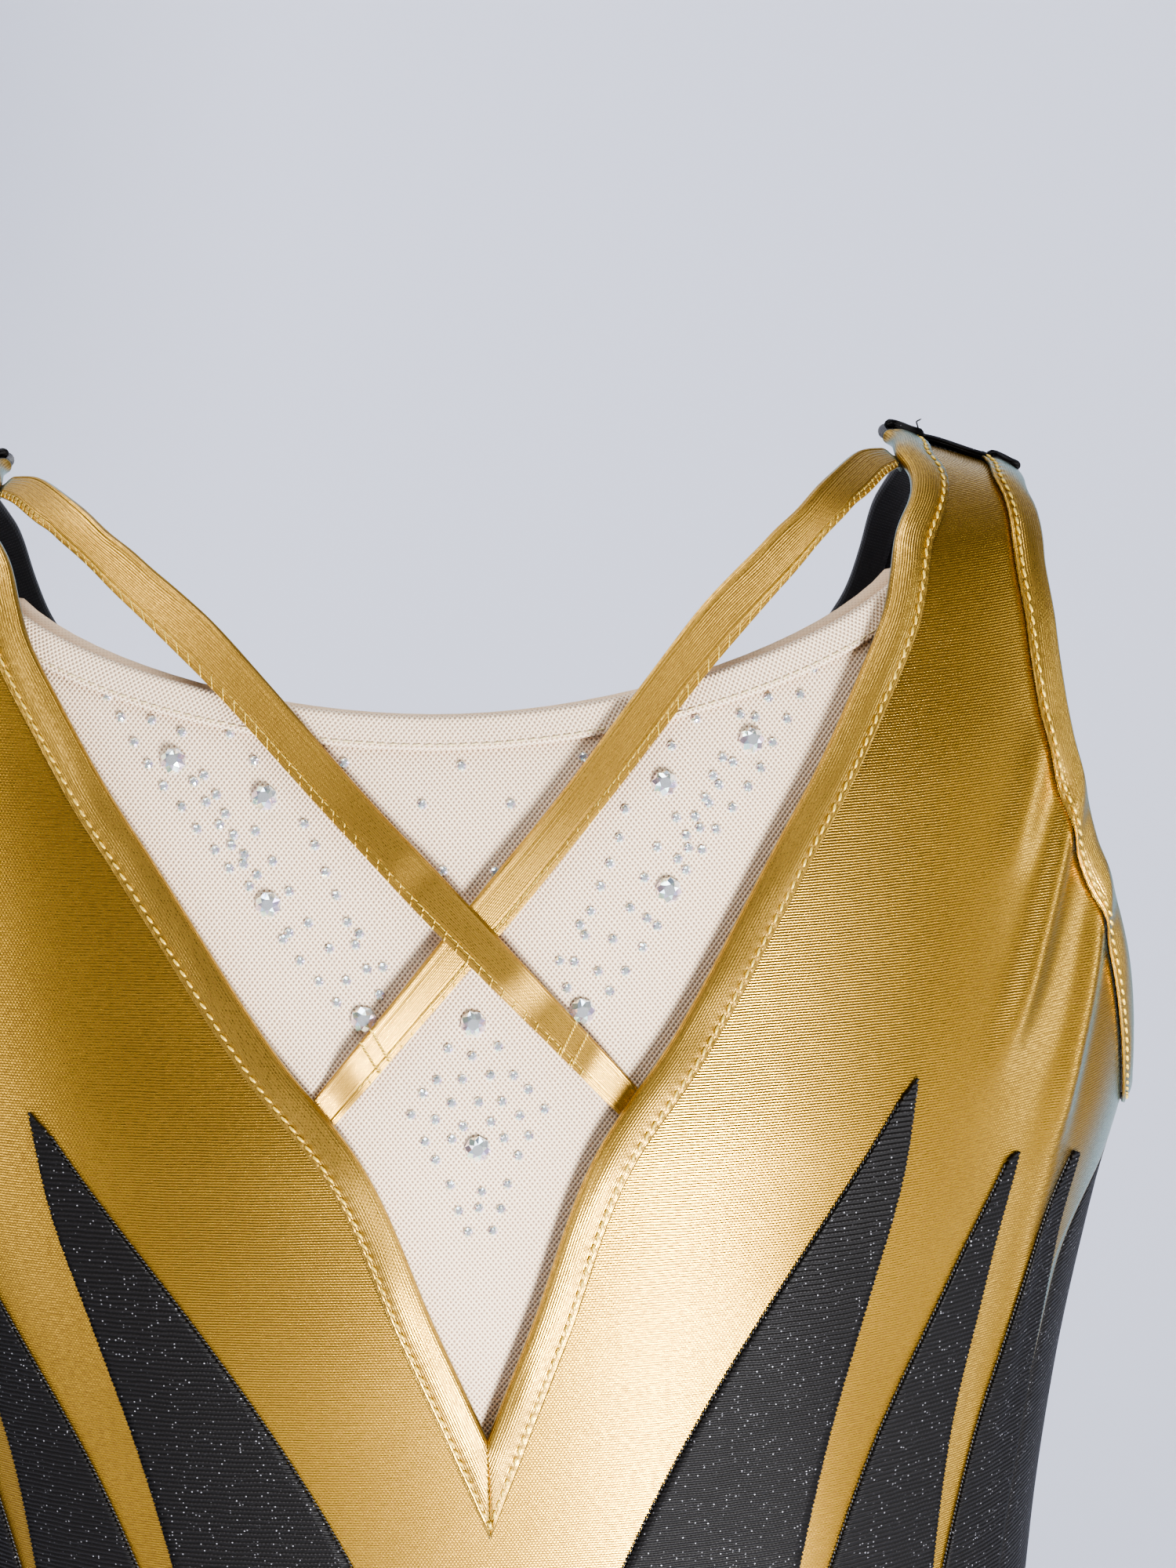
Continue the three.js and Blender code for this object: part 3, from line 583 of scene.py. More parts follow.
class Shader:
    """One material and its node tree."""

    def __init__(self, name):
        self.material = bpy.data.materials.new(name)
        self.material.use_nodes = True
        self.tree = self.material.node_tree
        self.bsdf = self.tree.nodes["Principled BSDF"]

    def node(self, kind, settings=None, inputs=None, output=0):
        node = self.tree.nodes.new(kind)
        for key, value in (settings or {}).items():
            if key == "stops":
                while len(node.color_ramp.elements) < len(value):
                    node.color_ramp.elements.new(1)
                for element, (position, colour) in zip(node.color_ramp.elements, value):
                    element.position, element.color = position, (*colour, 1)
            else:
                setattr(node, key, value)
        for key, value in (inputs or {}).items():
            self.put(node.inputs[key], value)
        return Value(self, node.outputs[output])

    def put(self, socket, value):
        if isinstance(value, Value):
            self.tree.links.new(value.socket, socket)
        else:
            socket.default_value = value

    def number(self, value):
        node = self.tree.nodes.new("ShaderNodeValue")
        node.outputs[0].default_value = value
        return Value(self, node.outputs[0])

    def mix(self, share, a, b):
        """Mixes two colours."""
        node = self.tree.nodes.new("ShaderNodeMix")
        node.data_type = "RGBA"
        for key, value in ((0, share), (6, a), (7, b)):
            if isinstance(value, tuple):
                value = (*value, 1) if len(value) == 3 else value
            self.put(node.inputs[key], value)
        return Value(self, node.outputs[2])

    def between(self, value, low, high):
        """Takes a value's 0 to 1 to low to high."""
        return value * (high - low) + low

    def step(self, value, low, high):
        """0 below low and 1 above high, with a smooth rise."""
        return self.node("ShaderNodeMapRange", {"interpolation_type": "SMOOTHSTEP"},
                         {0: value, 1: low, 2: high, 3: 0.0, 4: 1.0})

    def cloth_axes(self):
        uv = self.node("ShaderNodeUVMap", {"uv_map": "cloth"})
        node = self.tree.nodes.new("ShaderNodeSeparateXYZ")
        self.put(node.inputs[0], uv)
        return uv, Value(self, node.outputs[0]), Value(self, node.outputs[1])

    def set(self, **sockets):
        for key, value in sockets.items():
            name = key.replace("_", " ").title().replace("Ior", "IOR")
            if isinstance(value, tuple) and len(value) == 3:
                value = (*value, 1)
            self.put(self.bsdf.inputs[name], value)
        return self

    def bump(self, height, distance, strength=1.0):
        """Height in 0 to 1 raises the surface by a distance in metres."""
        normal = self.node("ShaderNodeBump", {}, {"Strength": strength, "Distance": distance,
                                                  "Height": height})
        self.put(self.bsdf.inputs["Normal"], normal)
        return self

    def wave(self, value, pitch):
        """A 0 to 1 wave that repeats every pitch."""
        return (value * (2 * np.pi / pitch)).maths("SINE") * 0.5 + 0.5

    def noise(self, vector, size, detail=2.0):
        return self.node("ShaderNodeTexNoise", {}, {"Vector": vector, "Scale": 1 / size,
                                                    "Detail": detail})


# %% [markdown]
# Foil knit is a stretch jersey with metal foil pressed onto it. The foil breaks over the rows of
# loops, so up close it is rows of small bright ovals with dull gaps. Each row bends light up and
# down but hardly sideways, which is why a highlight on it is tall and narrow. The rows are bump and
# the gaps are roughness and colour, on the cloth's own UV; modelled loops would need millions of faces.

# %% Foil knits


def foil_knit(name, colour, dull, row_pitch, loop_pitch, base_roughness=0.17):
    shader = Shader(name)
    uv, u, v = shader.cloth_axes()
    wobble = shader.noise(uv, 0.012) - 0.5
    row_phase = v + wobble * (row_pitch * 0.9)
    rows = shader.wave(row_phase, row_pitch)
    half_rows = shader.wave(row_phase, row_pitch * 2)
    offset = shader.step(half_rows, 0.45, 0.55) * (loop_pitch / 2)
    loops = shader.wave(u + offset, loop_pitch)
    oval = rows * (loops * 0.45 + 0.55)
    stretched_uv = shader.node("ShaderNodeVectorMath", {"operation": "MULTIPLY"},
                               {0: uv, 1: (700, 1900, 1)})
    streak = shader.noise(stretched_uv, 1.0, 2.0)
    wear = shader.step(streak, 0.34, 0.66)
    cloud = shader.noise(uv, 0.03, 2.0)
    shine = oval * 0.6 + wear * 0.4
    tint = shader.mix(shine, dull, colour)
    # The teal grey at grazing angles is a painted reflection: where the cloth turns away from the view,
    # the base colour is mixed toward teal grey, as the room would show in the foil, except on the
    # shoulder tops.
    facing = shader.node("ShaderNodeLayerWeight", {}, {"Blend": 0.5}, 1)
    reflection_below_shoulder = 1 - shader.step(v, 0.215, 0.255)
    edge = shader.step(facing, 0.56, 0.84) * reflection_below_shoulder * 0.8
    clouded = shader.mix(cloud * 0.45, tint, tuple(0.72 * c for c in colour))
    shader.set(base_color=shader.mix(edge, clouded, (0.25, 0.36, 0.34)),
               roughness=shader.between(shine, base_roughness + 0.2, base_roughness),
               metallic=shader.between(shine, 0.82, 1.0),
               specular_tint=(0.86, 0.97, 1.0))
    shader.bump(rows * 0.7 + loops * rows * 0.3, 0.00006)
    return shader.material


gold = (0.72, 0.43, 0.07)
gold_dull = (0.16, 0.078, 0.018)
gold_foil = foil_knit("gold foil knit", gold, gold_dull, 0.00056, 0.00070)
gold_binding = foil_knit("gold binding", (0.78, 0.49, 0.105), gold_dull, 0.00052, 0.0008,
                         base_roughness=0.22)
gold_strap = foil_knit("gold strap", (0.78, 0.48, 0.10), (0.22, 0.11, 0.026), 0.00062, 0.0009,
                       base_roughness=0.23)
print("foil knits:", gold_foil.name, gold_binding.name, gold_strap.name)

# %% [markdown]
# The reverse of the foil knit and the linings are matt jersey. The black panels are a ribbed knit
# with silver glitter caught in it: coarser rows than the foil's, and a scatter of tiny flakes, each a
# small cell of a Voronoi pattern with its own brightness.

# %% Matt knits and black glitter knit


def matt_knit(name, colour, pitch, roughness=0.85, sheen=0.3, depth=0.00008):
    shader = Shader(name)
    uv, u, v = shader.cloth_axes()
    rows, columns = shader.wave(v, pitch), shader.wave(u, pitch * 1.2)
    cloud = shader.noise(uv, 0.01)
    shader.set(base_color=shader.mix(rows * columns * 0.35 + cloud * 0.2, colour,
                                     tuple(0.72 * c for c in colour)),
               roughness=roughness, sheen_weight=sheen)
    shader.bump(rows * columns, depth)
    return shader.material


def glitter_knit(name):
    shader = Shader(name)
    uv, u, v = shader.cloth_axes()
    wobble = (shader.noise(uv, 0.006) - 0.5) * 0.0006
    rows = shader.wave(v + wobble, 0.00105)
    loops = shader.wave(u + shader.step(shader.wave(v, 0.0021), 0.4, 0.6) * 0.0004, 0.0008)
    flakes = shader.tree.nodes.new("ShaderNodeTexVoronoi")
    shader.put(flakes.inputs["Vector"], uv)
    flakes.inputs["Scale"].default_value = 1 / 0.00065
    distance = Value(shader, flakes.outputs["Distance"])
    chance = shader.node("ShaderNodeSeparateColor", {}, {0: Value(shader, flakes.outputs["Color"])})
    bright = shader.step(chance, 0.72, 1.0)
    spark = (1 - shader.step(distance, 0.10, 0.30)) * bright * 0.7
    body = shader.mix(rows, (0.0018, 0.0014, 0.0014), (0.0070, 0.0058, 0.0056))
    shader.set(base_color=shader.mix(spark, body, (0.62, 0.61, 0.66)),
               metallic=spark * 0.9,
               roughness=shader.between(spark, 0.55, 0.25))
    shader.bsdf.inputs["Specular IOR Level"].default_value = 0.2
    shader.bump(rows * 0.8 + loops * rows * 0.2, 0.00022)
    return shader.material


gold_reverse = matt_knit("back of the foil knit", (0.30, 0.22, 0.10), 0.0006, 0.7)
nude_tricot = matt_knit("nude tricot", (0.80, 0.60, 0.42), 0.0006)
black_glitter = glitter_knit("black glitter knit")
black_reverse = matt_knit("back of the black knit", (0.018, 0.017, 0.020), 0.0008, 0.8, 0.1)
black_binding = matt_knit("black binding", (0.016, 0.015, 0.018), 0.0007, 0.6, 0.2)
white_elastic = matt_knit("white elastic", (0.75, 0.74, 0.70), 0.0009, 0.8)
print("matt knits and glitter are ready")

# %% [markdown]
# The yoke is a fine net: a honeycomb of openings with thick threads between. Holes modelled one by
# one would be some tens of thousands, so the shader makes them: Alpha falls to 0.55 inside each
# opening, and the opening takes the darker shadow colour, a painted shade of the lining seen through
# the net. The honeycomb comes from two sets of waves, one shifted by half a cell, of which the greater
# counts.

# %% Net and thread


def net(name, colour, shadow, pitch):
    shader = Shader(name)
    uv, u, v = shader.cloth_axes()
    wobble = (shader.noise(uv, 0.004) - 0.5) * (0.35 * pitch)
    tall = pitch * 1.25

    def openings(shift):
        across = shader.wave(u + wobble + shift * pitch, pitch)
        up = shader.wave(v + wobble + shift * tall, tall)
        return across * up
    hole = openings(0.0).maths("MAXIMUM", openings(0.5))
    opening = shader.step(hole, 0.50, 0.78)
    cloud = shader.noise(uv, 0.02)
    thread = shader.mix(cloud * 0.3, colour, tuple(0.86 * c for c in colour))
    # The openings take the shadow colour: painted shade, standing for the lining seen in shadow through
    # the net.
    shader.set(base_color=shader.mix(opening * 0.75, thread, shadow), roughness=0.7,
               sheen_weight=0.35, alpha=1 - opening * 0.45)
    shader.bump(1 - hole, 0.00022)
    return shader.material


def thread(name, colour, metallic, roughness):
    shader = Shader(name)
    place = shader.node("ShaderNodeTexCoord", output=3)
    twist = shader.noise(place, 0.0004)
    shader.set(base_color=shader.mix(twist, colour, tuple(0.55 * c for c in colour)),
               metallic=metallic, roughness=roughness)
    shader.bump(twist, 0.00008)
    return shader.material


nude_net = net("nude net", (0.95, 0.76, 0.56), (0.50, 0.29, 0.17), 0.00104)
gold_thread = thread("gold thread", (0.88, 0.62, 0.13), 0.35, 0.35)
pale_thread = thread("pale yellow thread", (0.90, 0.76, 0.42), 0.0, 0.6)
black_thread = thread("black thread", (0.03, 0.03, 0.033), 0.0, 0.5)
print("net pitch 0.9 mm")

# %% [markdown]
# Flat-back stones are cut glass with a foil back and a thin rainbow coating. A real glass shader
# would show the cloth through them, so a mirror-like finish with tinted facets is nearer. Each facet
# takes its tint from an attribute, so the colours stay with the stone in every view.

# %% Crystal


def crystal(name):
    shader = Shader(name)
    facet = shader.node("ShaderNodeAttribute", {"attribute_name": "facet"}, {}, 2)
    tint = shader.node("ShaderNodeValToRGB", {"stops": [
        (0.0, (0.93, 0.95, 0.97)), (0.16, (0.62, 0.78, 0.95)), (0.30, (0.80, 0.62, 0.92)),
        (0.44, (0.95, 0.93, 0.90)), (0.56, (0.62, 0.90, 0.78)), (0.70, (0.96, 0.72, 0.80)),
        (0.84, (0.45, 0.42, 0.50)), (1.0, (0.96, 0.90, 0.66))]}, {0: facet})
    shader.set(base_color=tint, metallic=0.75, roughness=0.07, coat_weight=1.0)
    shader.bsdf.inputs["Coat Roughness"].default_value = 0.03
    return shader.material


stone_glass = crystal("rainbow coated stone")
print("stone finish ready")

# %% [markdown]
# ## Front bodice
#
# The gold front is cut in one with the shoulder straps. Its grid runs from the V and the centre line
# out to the armhole and the side seam, so the mesh lines follow the edges of the cut. Both halves
# share the centre line below the V, where they weld into one panel.

# %% Common layers and the bodice
cloth, binding_cloth, mesh_cloth, strap_cloth = 0.7, 0.6, 0.4, 0.8
binding_width, binding_turn_under, hem_width, elastic_width = 7.5, 6.5, 7, 4.5
seam_gap = 0.5
stitch_inset = 6.3  # from a folded edge to the stitching
bodice_layer, outer_layer, turned_layer = 0.0, 1.5, -1.4
hem_front_layer, yoke_layer, hem_back_layer, lining_layer = -2.5, -3.6, -4.7, -6.2
strap_layer = -0.9
bound_inset = binding_cloth + seam_gap
elastic_inset = bound_inset + elastic_width + 2 * seam_gap
half_gap = seam_gap / 2
near_end = 0.997

fine = 8  # mesh rows for each row of the solid model
straight_down = -unit(slopes([0, -neck_depth])[1])
straight_down_back = -unit(slopes([2, -back_neck_depth])[1])
down_underarm = -unit(slopes(armhole_low)[1])
along_shoulder = unit(surface([1 - shoulder_turn, shoulder_height]) - surface([1 - shoulder_turn, 0]))

neck_rows, back_neck_rows, arm_rows = 19 * fine, 13 * fine, 14 * fine
side_rows, hip_rows, leg_front_rows, leg_back_rows = 11 * fine, 5 * fine, 12 * fine, 14 * fine
neck_edge = sampled(neck_line, neck_rows)
neck_into = inward(neck_edge, 1, first=along_shoulder, last=straight_down)
back_neck_edge = sampled(back_neck_line, back_neck_rows)
back_neck_into = inward(back_neck_edge, -1, first=along_shoulder, last=straight_down_back)
arm_front_edge = sampled(armhole_front, arm_rows, 0, near_end)
arm_front_into = inward(arm_front_edge, -1, first=-along_shoulder, last=down_underarm)
arm_back_edge = sampled(armhole_back, arm_rows, 0, near_end)
arm_back_into = inward(arm_back_edge, 1, first=-along_shoulder, last=down_underarm)

corner_drop = 0.9 * elastic_inset  # the panels' corners start this far below the armhole
upper_start = share_where(side_seam_upper, lambda p: p[1] < -armhole_depth - corner_drop)
lower_end = share_where(side_seam_lower, lambda p: p[1] < leg_cut_height + corner_drop)
upper_seam = sampled(side_seam_upper, side_rows, upper_start, 1)
lower_seam = sampled(side_seam_lower, hip_rows, 0, lower_end)


def seam_side(places, side):
    return walk(places, inward(places, side), half_gap / 2)


def between(left, right, shares):
    shares = np.asarray(shares)[None, :, None]
    return left[:, None] * (1 - shares) + right[:, None] * shares


def straight(start, end, rows):
    return np.linspace(start, end, rows + 1)


def both_halves(grid):
    return [grid, mirror(grid)[:, ::-1]]


columns = np.linspace(0, 1, 49)


def front_bodice():
    arm = walk(arm_front_edge, arm_front_into, elastic_inset)[:-1]
    outer = np.vstack([arm, seam_side(upper_seam, -1)])
    neck = walk(neck_edge, neck_into, bound_inset)
    centre = straight(neck[-1], (0, waist_seam + half_gap), len(outer) - len(neck))[1:]
    grid = between(np.vstack([neck, centre]), outer, columns)
    grid[-1, :, 1] = waist_seam + half_gap
    grid[len(neck) - 1:, 0, 0] = 0
    return cloth_shell("front_bodice_cloth", both_halves(grid), bodice_layer, cloth,
                       gold_foil, gold_reverse)


bodice = front_bodice()
print("bodice faces:", len(bodice.data.polygons))

# %% [markdown]
# ## Black back and brief
#
# The back is one panel that wraps forward under the arms, and the brief's front meets it at the hips
# and between the legs. They are made as the bodice is, with the leg edges as their outer lines.

# %% Back panel, lower front and linings


def leg_edge(curve, rows, side):
    places = sampled(curve, rows)[1:]
    places[-1, 1] += half_gap
    across = unit(surface([0, crotch_run]) - surface(places[-1]))
    into = inward(places, side, last=across)
    return walk(places, into, elastic_inset)


def back_panel():
    arm = walk(arm_back_edge, arm_back_into, elastic_inset)[:-1]
    outer = np.vstack([arm, seam_side(upper_seam, 1), seam_side(lower_seam, 1)[1:],
                       leg_edge(leg_back, leg_back_rows, 1)])
    neck = walk(back_neck_edge, back_neck_into, bound_inset)
    neck[-1, 0] = 2
    centre = straight(neck[-1], (2, crotch_run + half_gap), len(outer) - len(neck))[1:]
    grid = between(np.vstack([neck, centre]), outer, columns)
    return cloth_shell("back_panel_cloth", both_halves(grid),
                       bodice_layer, cloth, black_glitter, black_reverse)


def lower_front_panel():
    outer = np.vstack([seam_side(lower_seam, -1), leg_edge(leg_front, leg_front_rows, -1)])
    centre = straight((0, waist_seam), (0, crotch_run + half_gap), len(outer) - 1)
    grid = between(centre, outer, columns[::2])
    grid[0, :, 1] = waist_seam - half_gap
    return cloth_shell("lower_front_cloth", both_halves(grid), bodice_layer, cloth,
                       black_glitter, black_reverse)


back = back_panel()
lower_front = lower_front_panel()
print("back faces:", len(back.data.polygons), "lower front faces:", len(lower_front.data.polygons))

# %% [markdown]
# ## Yoke, its hem, and the linings
#
# The net fills the V from edge to edge. Its top edge sags in a shallow curve and is folded double,
# which reads as a more solid band. A nude tricot lining lies behind the yoke and the bodice.

# %% Net yoke, folded hem and linings
yoke_corner = share_where(neck_line, lambda p: p[1] < yoke_sag - yoke_depth)
yoke_turn = neck_line(yoke_corner)[0]
yoke_under_binding = 4
yoke_places = sampled(neck_line, 12 * fine, yoke_corner, 1)
yoke_edge = walk(yoke_places, inward(yoke_places, 1), yoke_under_binding)


def sag_at(turn, edge):
    return yoke_sag * (1 - np.minimum(1, abs(turn) / edge)**1.9)


def sagging(grid, edges):
    grid = grid.copy()
    fade = 1 - np.linspace(0, 1, len(grid))[:, None]
    grid[..., 1] -= sag_at(grid[..., 0], edges) * fade
    return grid


def mesh_yoke():
    lowered = yoke_edge.copy()
    lowered[:, 0] = np.maximum(lowered[:, 0], 0.002)
    lowered[0, 1] -= mesh_cloth + seam_gap
    grid = between(mirror(lowered), lowered, np.linspace(0, 1, 81))
    return cloth_shell("mesh_yoke_net", [sagging(grid, grid[:, -1:, 0])], yoke_layer, mesh_cloth,
                       nude_net, nude_net)


def hem_top(share):
    turn = yoke_edge[0, 0] * (2 * np.asarray(share) - 1)
    return np.stack([turn, yoke_edge[0, 1] - sag_at(turn, yoke_edge[0, 0])], axis=-1)


def folded_centre(width, turned_width, outer, inner, crown=0.0, sides=(10, 8, 6)):
    """The centre line of a strip folded over an edge, from the outer raw edge round the fold."""
    front, fold, rear = sides
    share = np.linspace(1, 0, front, endpoint=False)
    middle, radius = (outer + inner) / 2, (outer - inner) / 2
    outside = np.stack([radius + (width - radius) * share,
                        outer + crown * np.sin(np.pi * share**0.8)], axis=-1)
    angle = np.linspace(np.pi / 2, -np.pi / 2, fold, endpoint=False)
    bend = np.stack([radius * (1 - np.cos(angle)), middle + radius * np.sin(angle)], axis=-1)
    share = np.linspace(0, 1, rear)
    inside = np.stack([radius + (turned_width - radius) * share, np.full(rear, inner)], axis=-1)
    return np.vstack([outside, bend, inside])


def mesh_yoke_hem():
    top = sampled(hem_top, 16 * fine)
    centre = folded_centre(hem_width, hem_width, hem_front_layer + mesh_cloth / 2,
                           hem_back_layer + mesh_cloth / 2)
    section = band(centre, mesh_cloth)
    return edging("mesh_yoke_hem_net", (top, inward(top, -1), np.ones(len(top))),
                  lambda along: np.repeat(section[None], len(along), axis=0), [nude_net])


def front_lining():
    below = 3
    start = share_where(armhole_front, lambda p: p[1] < yoke_sag - yoke_depth - below)
    arm_places = sampled(armhole_front, 9 * fine, start, near_end)
    arm = walk(arm_places, inward(arm_places, -1, last=down_underarm), binding_width)[:-1]
    outer = np.vstack([arm, seam_side(upper_seam, -1)[::2]])
    centre = straight((0, outer[0, 1]), (0, waist_seam + half_gap), len(outer) - 1)
    grid = between(centre, outer, columns[::2])
    return cloth_shell("front_lining_cloth", both_halves(sagging(grid, yoke_turn)), lining_layer,
                       cloth, nude_tricot, nude_tricot)


def gusset_lining():
    end = (turn_across((crotch_half_width - 2) / seat_half_width), crotch_run + 44)
    edge = straight(end, (end[0], crotch_run - 52), 40)
    grid = between(mirror(edge), edge, columns[::2])
    return cloth_shell("gusset_lining_cloth", [grid], hem_back_layer, cloth, nude_tricot,
                       nude_tricot)


yoke = mesh_yoke()
hem = mesh_yoke_hem()
lining = front_lining()
gusset = gusset_lining()
print("yoke faces:", len(yoke.data.polygons), "hem faces:", len(hem.data.polygons))

# %% [markdown]
# ## Bindings
#
# A binding is a strip folded over an edge and sewn through. The fold is round, the outer side swells
# between the fold and the stitching, and the cloth puckers a little at every stitch. The section is
# a function of the distance along, so the swelling wanders as it does by hand. At the point of the V
# the section turns through a fan, as a mitred corner does, until it points straight down.

# %% Frames along the bound edges
stitch_pitch = 2.5
step_length = 0.55  # between two steps of a binding


def edge_frames(curve, length, side, start=0.0, end=1.0, first=None, last=None):
    places = sampled(curve, int(length / step_length), start, end)
    into = inward(places, side, first=None, last=last)
    if first is not None:
        into[0] = first
        for k in range(1, 12):
            share = k / 12
            into[k] = unit(first * (1 - share) + into[k] * share)
    return places, into, np.ones(len(places))


def mitred(frames, down, steps=20):
    """Adds a fan of frames at the last place, from square to the edge round to straight down."""
    places, into, stretch = frames
    square = into[-8]
    full = np.arccos(np.clip(square @ down, -1, 1))
    across = unit(down - (square @ down) * square)
    turn = np.linspace(0, full, steps + 1)[:, None]
    fan = np.cos(turn) * square + np.sin(turn) * across
    return (np.vstack([places[:-1], np.repeat(places[-1:], steps + 1, axis=0)]),
            np.vstack([into[:-1], fan]), np.r_[stretch[:-1], 1 / np.cos(turn[:, 0])])


def sided(frames, side):
    places, into, stretch = frames
    return frames if side == "left" else (mirror(places), into * [-1, 1, 1], stretch)


neck_frames = edge_frames(neck_line, 236, 1, first=along_shoulder)
neck_frames = mitred((np.maximum(neck_frames[0], [0.0003, -1000]), *neck_frames[1:]),
                     straight_down)
front_arm_frames = edge_frames(armhole_front, 156, -1, 0, near_end, -along_shoulder,
                               down_underarm)
back_arm_frames = edge_frames(armhole_back, 165, 1, 0, near_end, -along_shoulder, down_underarm)
print("binding steps:", len(neck_frames[0]), len(front_arm_frames[0]), len(back_arm_frames[0]))

# %% [markdown]
# Now the section itself, and the bindings made from it. A wandering swell and a pucker at each stitch
# are added to the flat fold, with a different start for each side of the body.

# %% Folded bindings


def binding_section(crown=0.35, seed=0.0, outer=outer_layer + 0.1):
    inner = turned_layer + binding_cloth / 2
    flat_centre = folded_centre(binding_width, binding_turn_under, outer, inner, 0)
    swell = folded_centre(binding_width, binding_turn_under, outer, inner, 1) - flat_centre

    def section(along):
        along = along[:, None]
        wander = 1 + 0.35 * np.sin(along / 9.1 + seed) + 0.25 * np.sin(along / 3.7 + 2 * seed)
        near = np.exp(-((flat_centre[:, 0] - stitch_inset) / 0.8)**2) * (flat_centre[:, 1] > 0)
        pucker = near * (0.26 + 0.12 * np.cos(2 * np.pi * along / stitch_pitch))
        height = flat_centre[:, 1] + swell[:, 1] * crown * wander - pucker
        return band(np.stack(np.broadcast_arrays(flat_centre[:, 0], height), -1), binding_cloth)
    return section


def loop_frames(front, front_length, back, back_length):
    places = np.vstack([sampled(front, front_length)[:-1], sampled(back, back_length)[::-1][:-1]])
    return places, inward(places, -1, closed=True), np.ones(len(places))


dressed = {}  # the solid model's node, and the piece that stands for it
for side, seed in (("left", 0.7), ("right", 4.1)):
    dressed[f"neck_binding_{side}"] = edging(
        f"neck_binding_{side}_fold", sided(neck_frames, side), binding_section(0.42, seed),
        [gold_binding])
    dressed[f"armhole_binding_front_{side}"] = edging(
        f"armhole_binding_front_{side}_fold", sided(front_arm_frames, side),
        binding_section(0.36, seed + 2), [gold_binding])
    dressed[f"armhole_binding_back_{side}"] = edging(
        f"armhole_binding_back_{side}_fold", sided(back_arm_frames, side),
        binding_section(0.3, seed + 3), [black_binding])
    leg_loop = sided(loop_frames(leg_front, 240, leg_back, 280), side)
    dressed[f"leg_binding_{side}"] = edging(
        f"leg_binding_{side}_fold", leg_loop, binding_section(0.25, seed + 5), [black_binding],
        closed=True)

half_back_neck = edge_frames(back_neck_line, 170, -1, first=along_shoulder,
                             last=straight_down_back)
back_neck_frames = (np.vstack([mirror(half_back_neck[0]), half_back_neck[0][-2::-1]]),
                    np.vstack([half_back_neck[1] * [-1, 1, 1], half_back_neck[1][-2::-1]]),
                    np.ones(2 * len(half_back_neck[0]) - 1))
back_neck_fold = edging("back_neck_binding_fold", back_neck_frames, binding_section(0.3, 6.0),
                        [black_binding])
print("pieces with folded edges:", len(dressed) + 1)

# %% [markdown]
# Flat elastic lies in the fold of the armholes and legs, and a tape keeps each shoulder seam from
# stretching. Neither shows when the leotard is worn, but both do through the openings.

# %% Elastic and shoulder tape
elastic_cloth = 0.8


def elastic_section(along):
    centre = np.stack([np.linspace(bound_inset, bound_inset + elastic_width, 8),
                       np.full(8, elastic_cloth / 2)], axis=-1)
    return np.repeat(band(centre, elastic_cloth)[None], len(along), axis=0)


def place_above(x, y):
    low, high = -60.0, 8.0
    for _ in range(40):
        run = (low + high) / 2
        depth = front_at(run) if y < 0 else back_at(run)
        inside = (abs(x) / half_width_at(run))**section_power + (abs(y) / depth)**section_power < 1
        low, high = (run, high) if inside else (low, run)
    depth = front_at(low) if y < 0 else back_at(low)
    return np.arctan2(x / half_width_at(low), -y / depth) * 2 / np.pi, low


def shoulder_tape(side):
    start, end = 91 + binding_turn_under + 2, 118.5 - binding_turn_under - 2
    grid = np.array([[place_above(x, y) for x in np.linspace(start, end, 9)]
                     for y in np.linspace(-5, 5, 17)], float)
    grid = grid if side == "left" else mirror(grid)[:, ::-1]
    return cloth_shell(f"shoulder_tape_{side}", [grid], turned_layer, mesh_cloth, nude_tricot,
                       nude_tricot)


for side in ("left", "right"):
    arm_loop = sided(loop_frames(armhole_front, 60, armhole_back, 60), side)
    leg_loop = sided(loop_frames(leg_front, 120, leg_back, 140), side)
    dressed[f"armhole_elastic_{side}"] = edging(f"armhole_elastic_{side}_band", arm_loop,
                                                elastic_section, [white_elastic], closed=True)
    dressed[f"leg_elastic_{side}"] = edging(f"leg_elastic_{side}_band", leg_loop,
                                            elastic_section, [white_elastic], closed=True)
    dressed[f"shoulder_seam_tape_{side}"] = shoulder_tape(side)
print("elastic is", elastic_width, "mm wide")

# %% [markdown]
# ## Flames
#
# Three black tongues rise from the waist on each side. Each is laid on top of the gold and sewn along
# its edges. The knit's ribs end at the cut, which leaves a fine saw edge there: the sides of each
# tongue step in and out by a fraction of a millimetre, rib by rib.

# %% Black flames
flame_tips = {"inner": 117, "middle": 137, "outer": 142}
flame_sides = {  # turn, and share of the way from the tip to the waist seam
    "inner": ([(0.389, 0.015), (0.318, 0.135), (0.228, 0.298), (0.14, 0.486), (0.06, 0.71),
               (0.006, 0.915), (0.003, 1)],
              [(0.402, 0), (0.388, 0.148), (0.351, 0.358), (0.328, 0.514), (0.302, 0.744),
               (0.302, 1)]),
    "middle": ([(0.527, 0.005), (0.475, 0.142), (0.409, 0.32), (0.367, 0.469), (0.308, 0.744),
                (0.308, 1)],
               [(0.539, 0), (0.528, 0.172), (0.515, 0.325), (0.514, 0.5), (0.517, 0.62),
                (0.517, 1)]),
    "outer": ([(0.649, 0), (0.616, 0.066), (0.571, 0.278), (0.537, 0.5), (0.523, 0.62),
               (0.523, 1)],
              [(0.664, 0.005), (0.661, 0.1), (0.667, 0.24), (0.662, 0.56), (0.652, 1)]),
}
rib_pitch = 1.05
flame_layer, flame_cloth = 0.95, 0.75


def flame_side(places, tip):
    bottom = waist_seam + half_gap
    return line([(turn, -tip + share * (bottom + tip)) for turn, share in places])


def saw_edge(places, sign):
    saw = 0.16 * np.sin(places[:, 1] * 2 * np.pi / rib_pitch) * np.minimum(
        1, np.arange(len(places))[::-1] / 20)
    return places + np.stack([sign * saw / turn_length, np.zeros(len(places))], axis=-1)


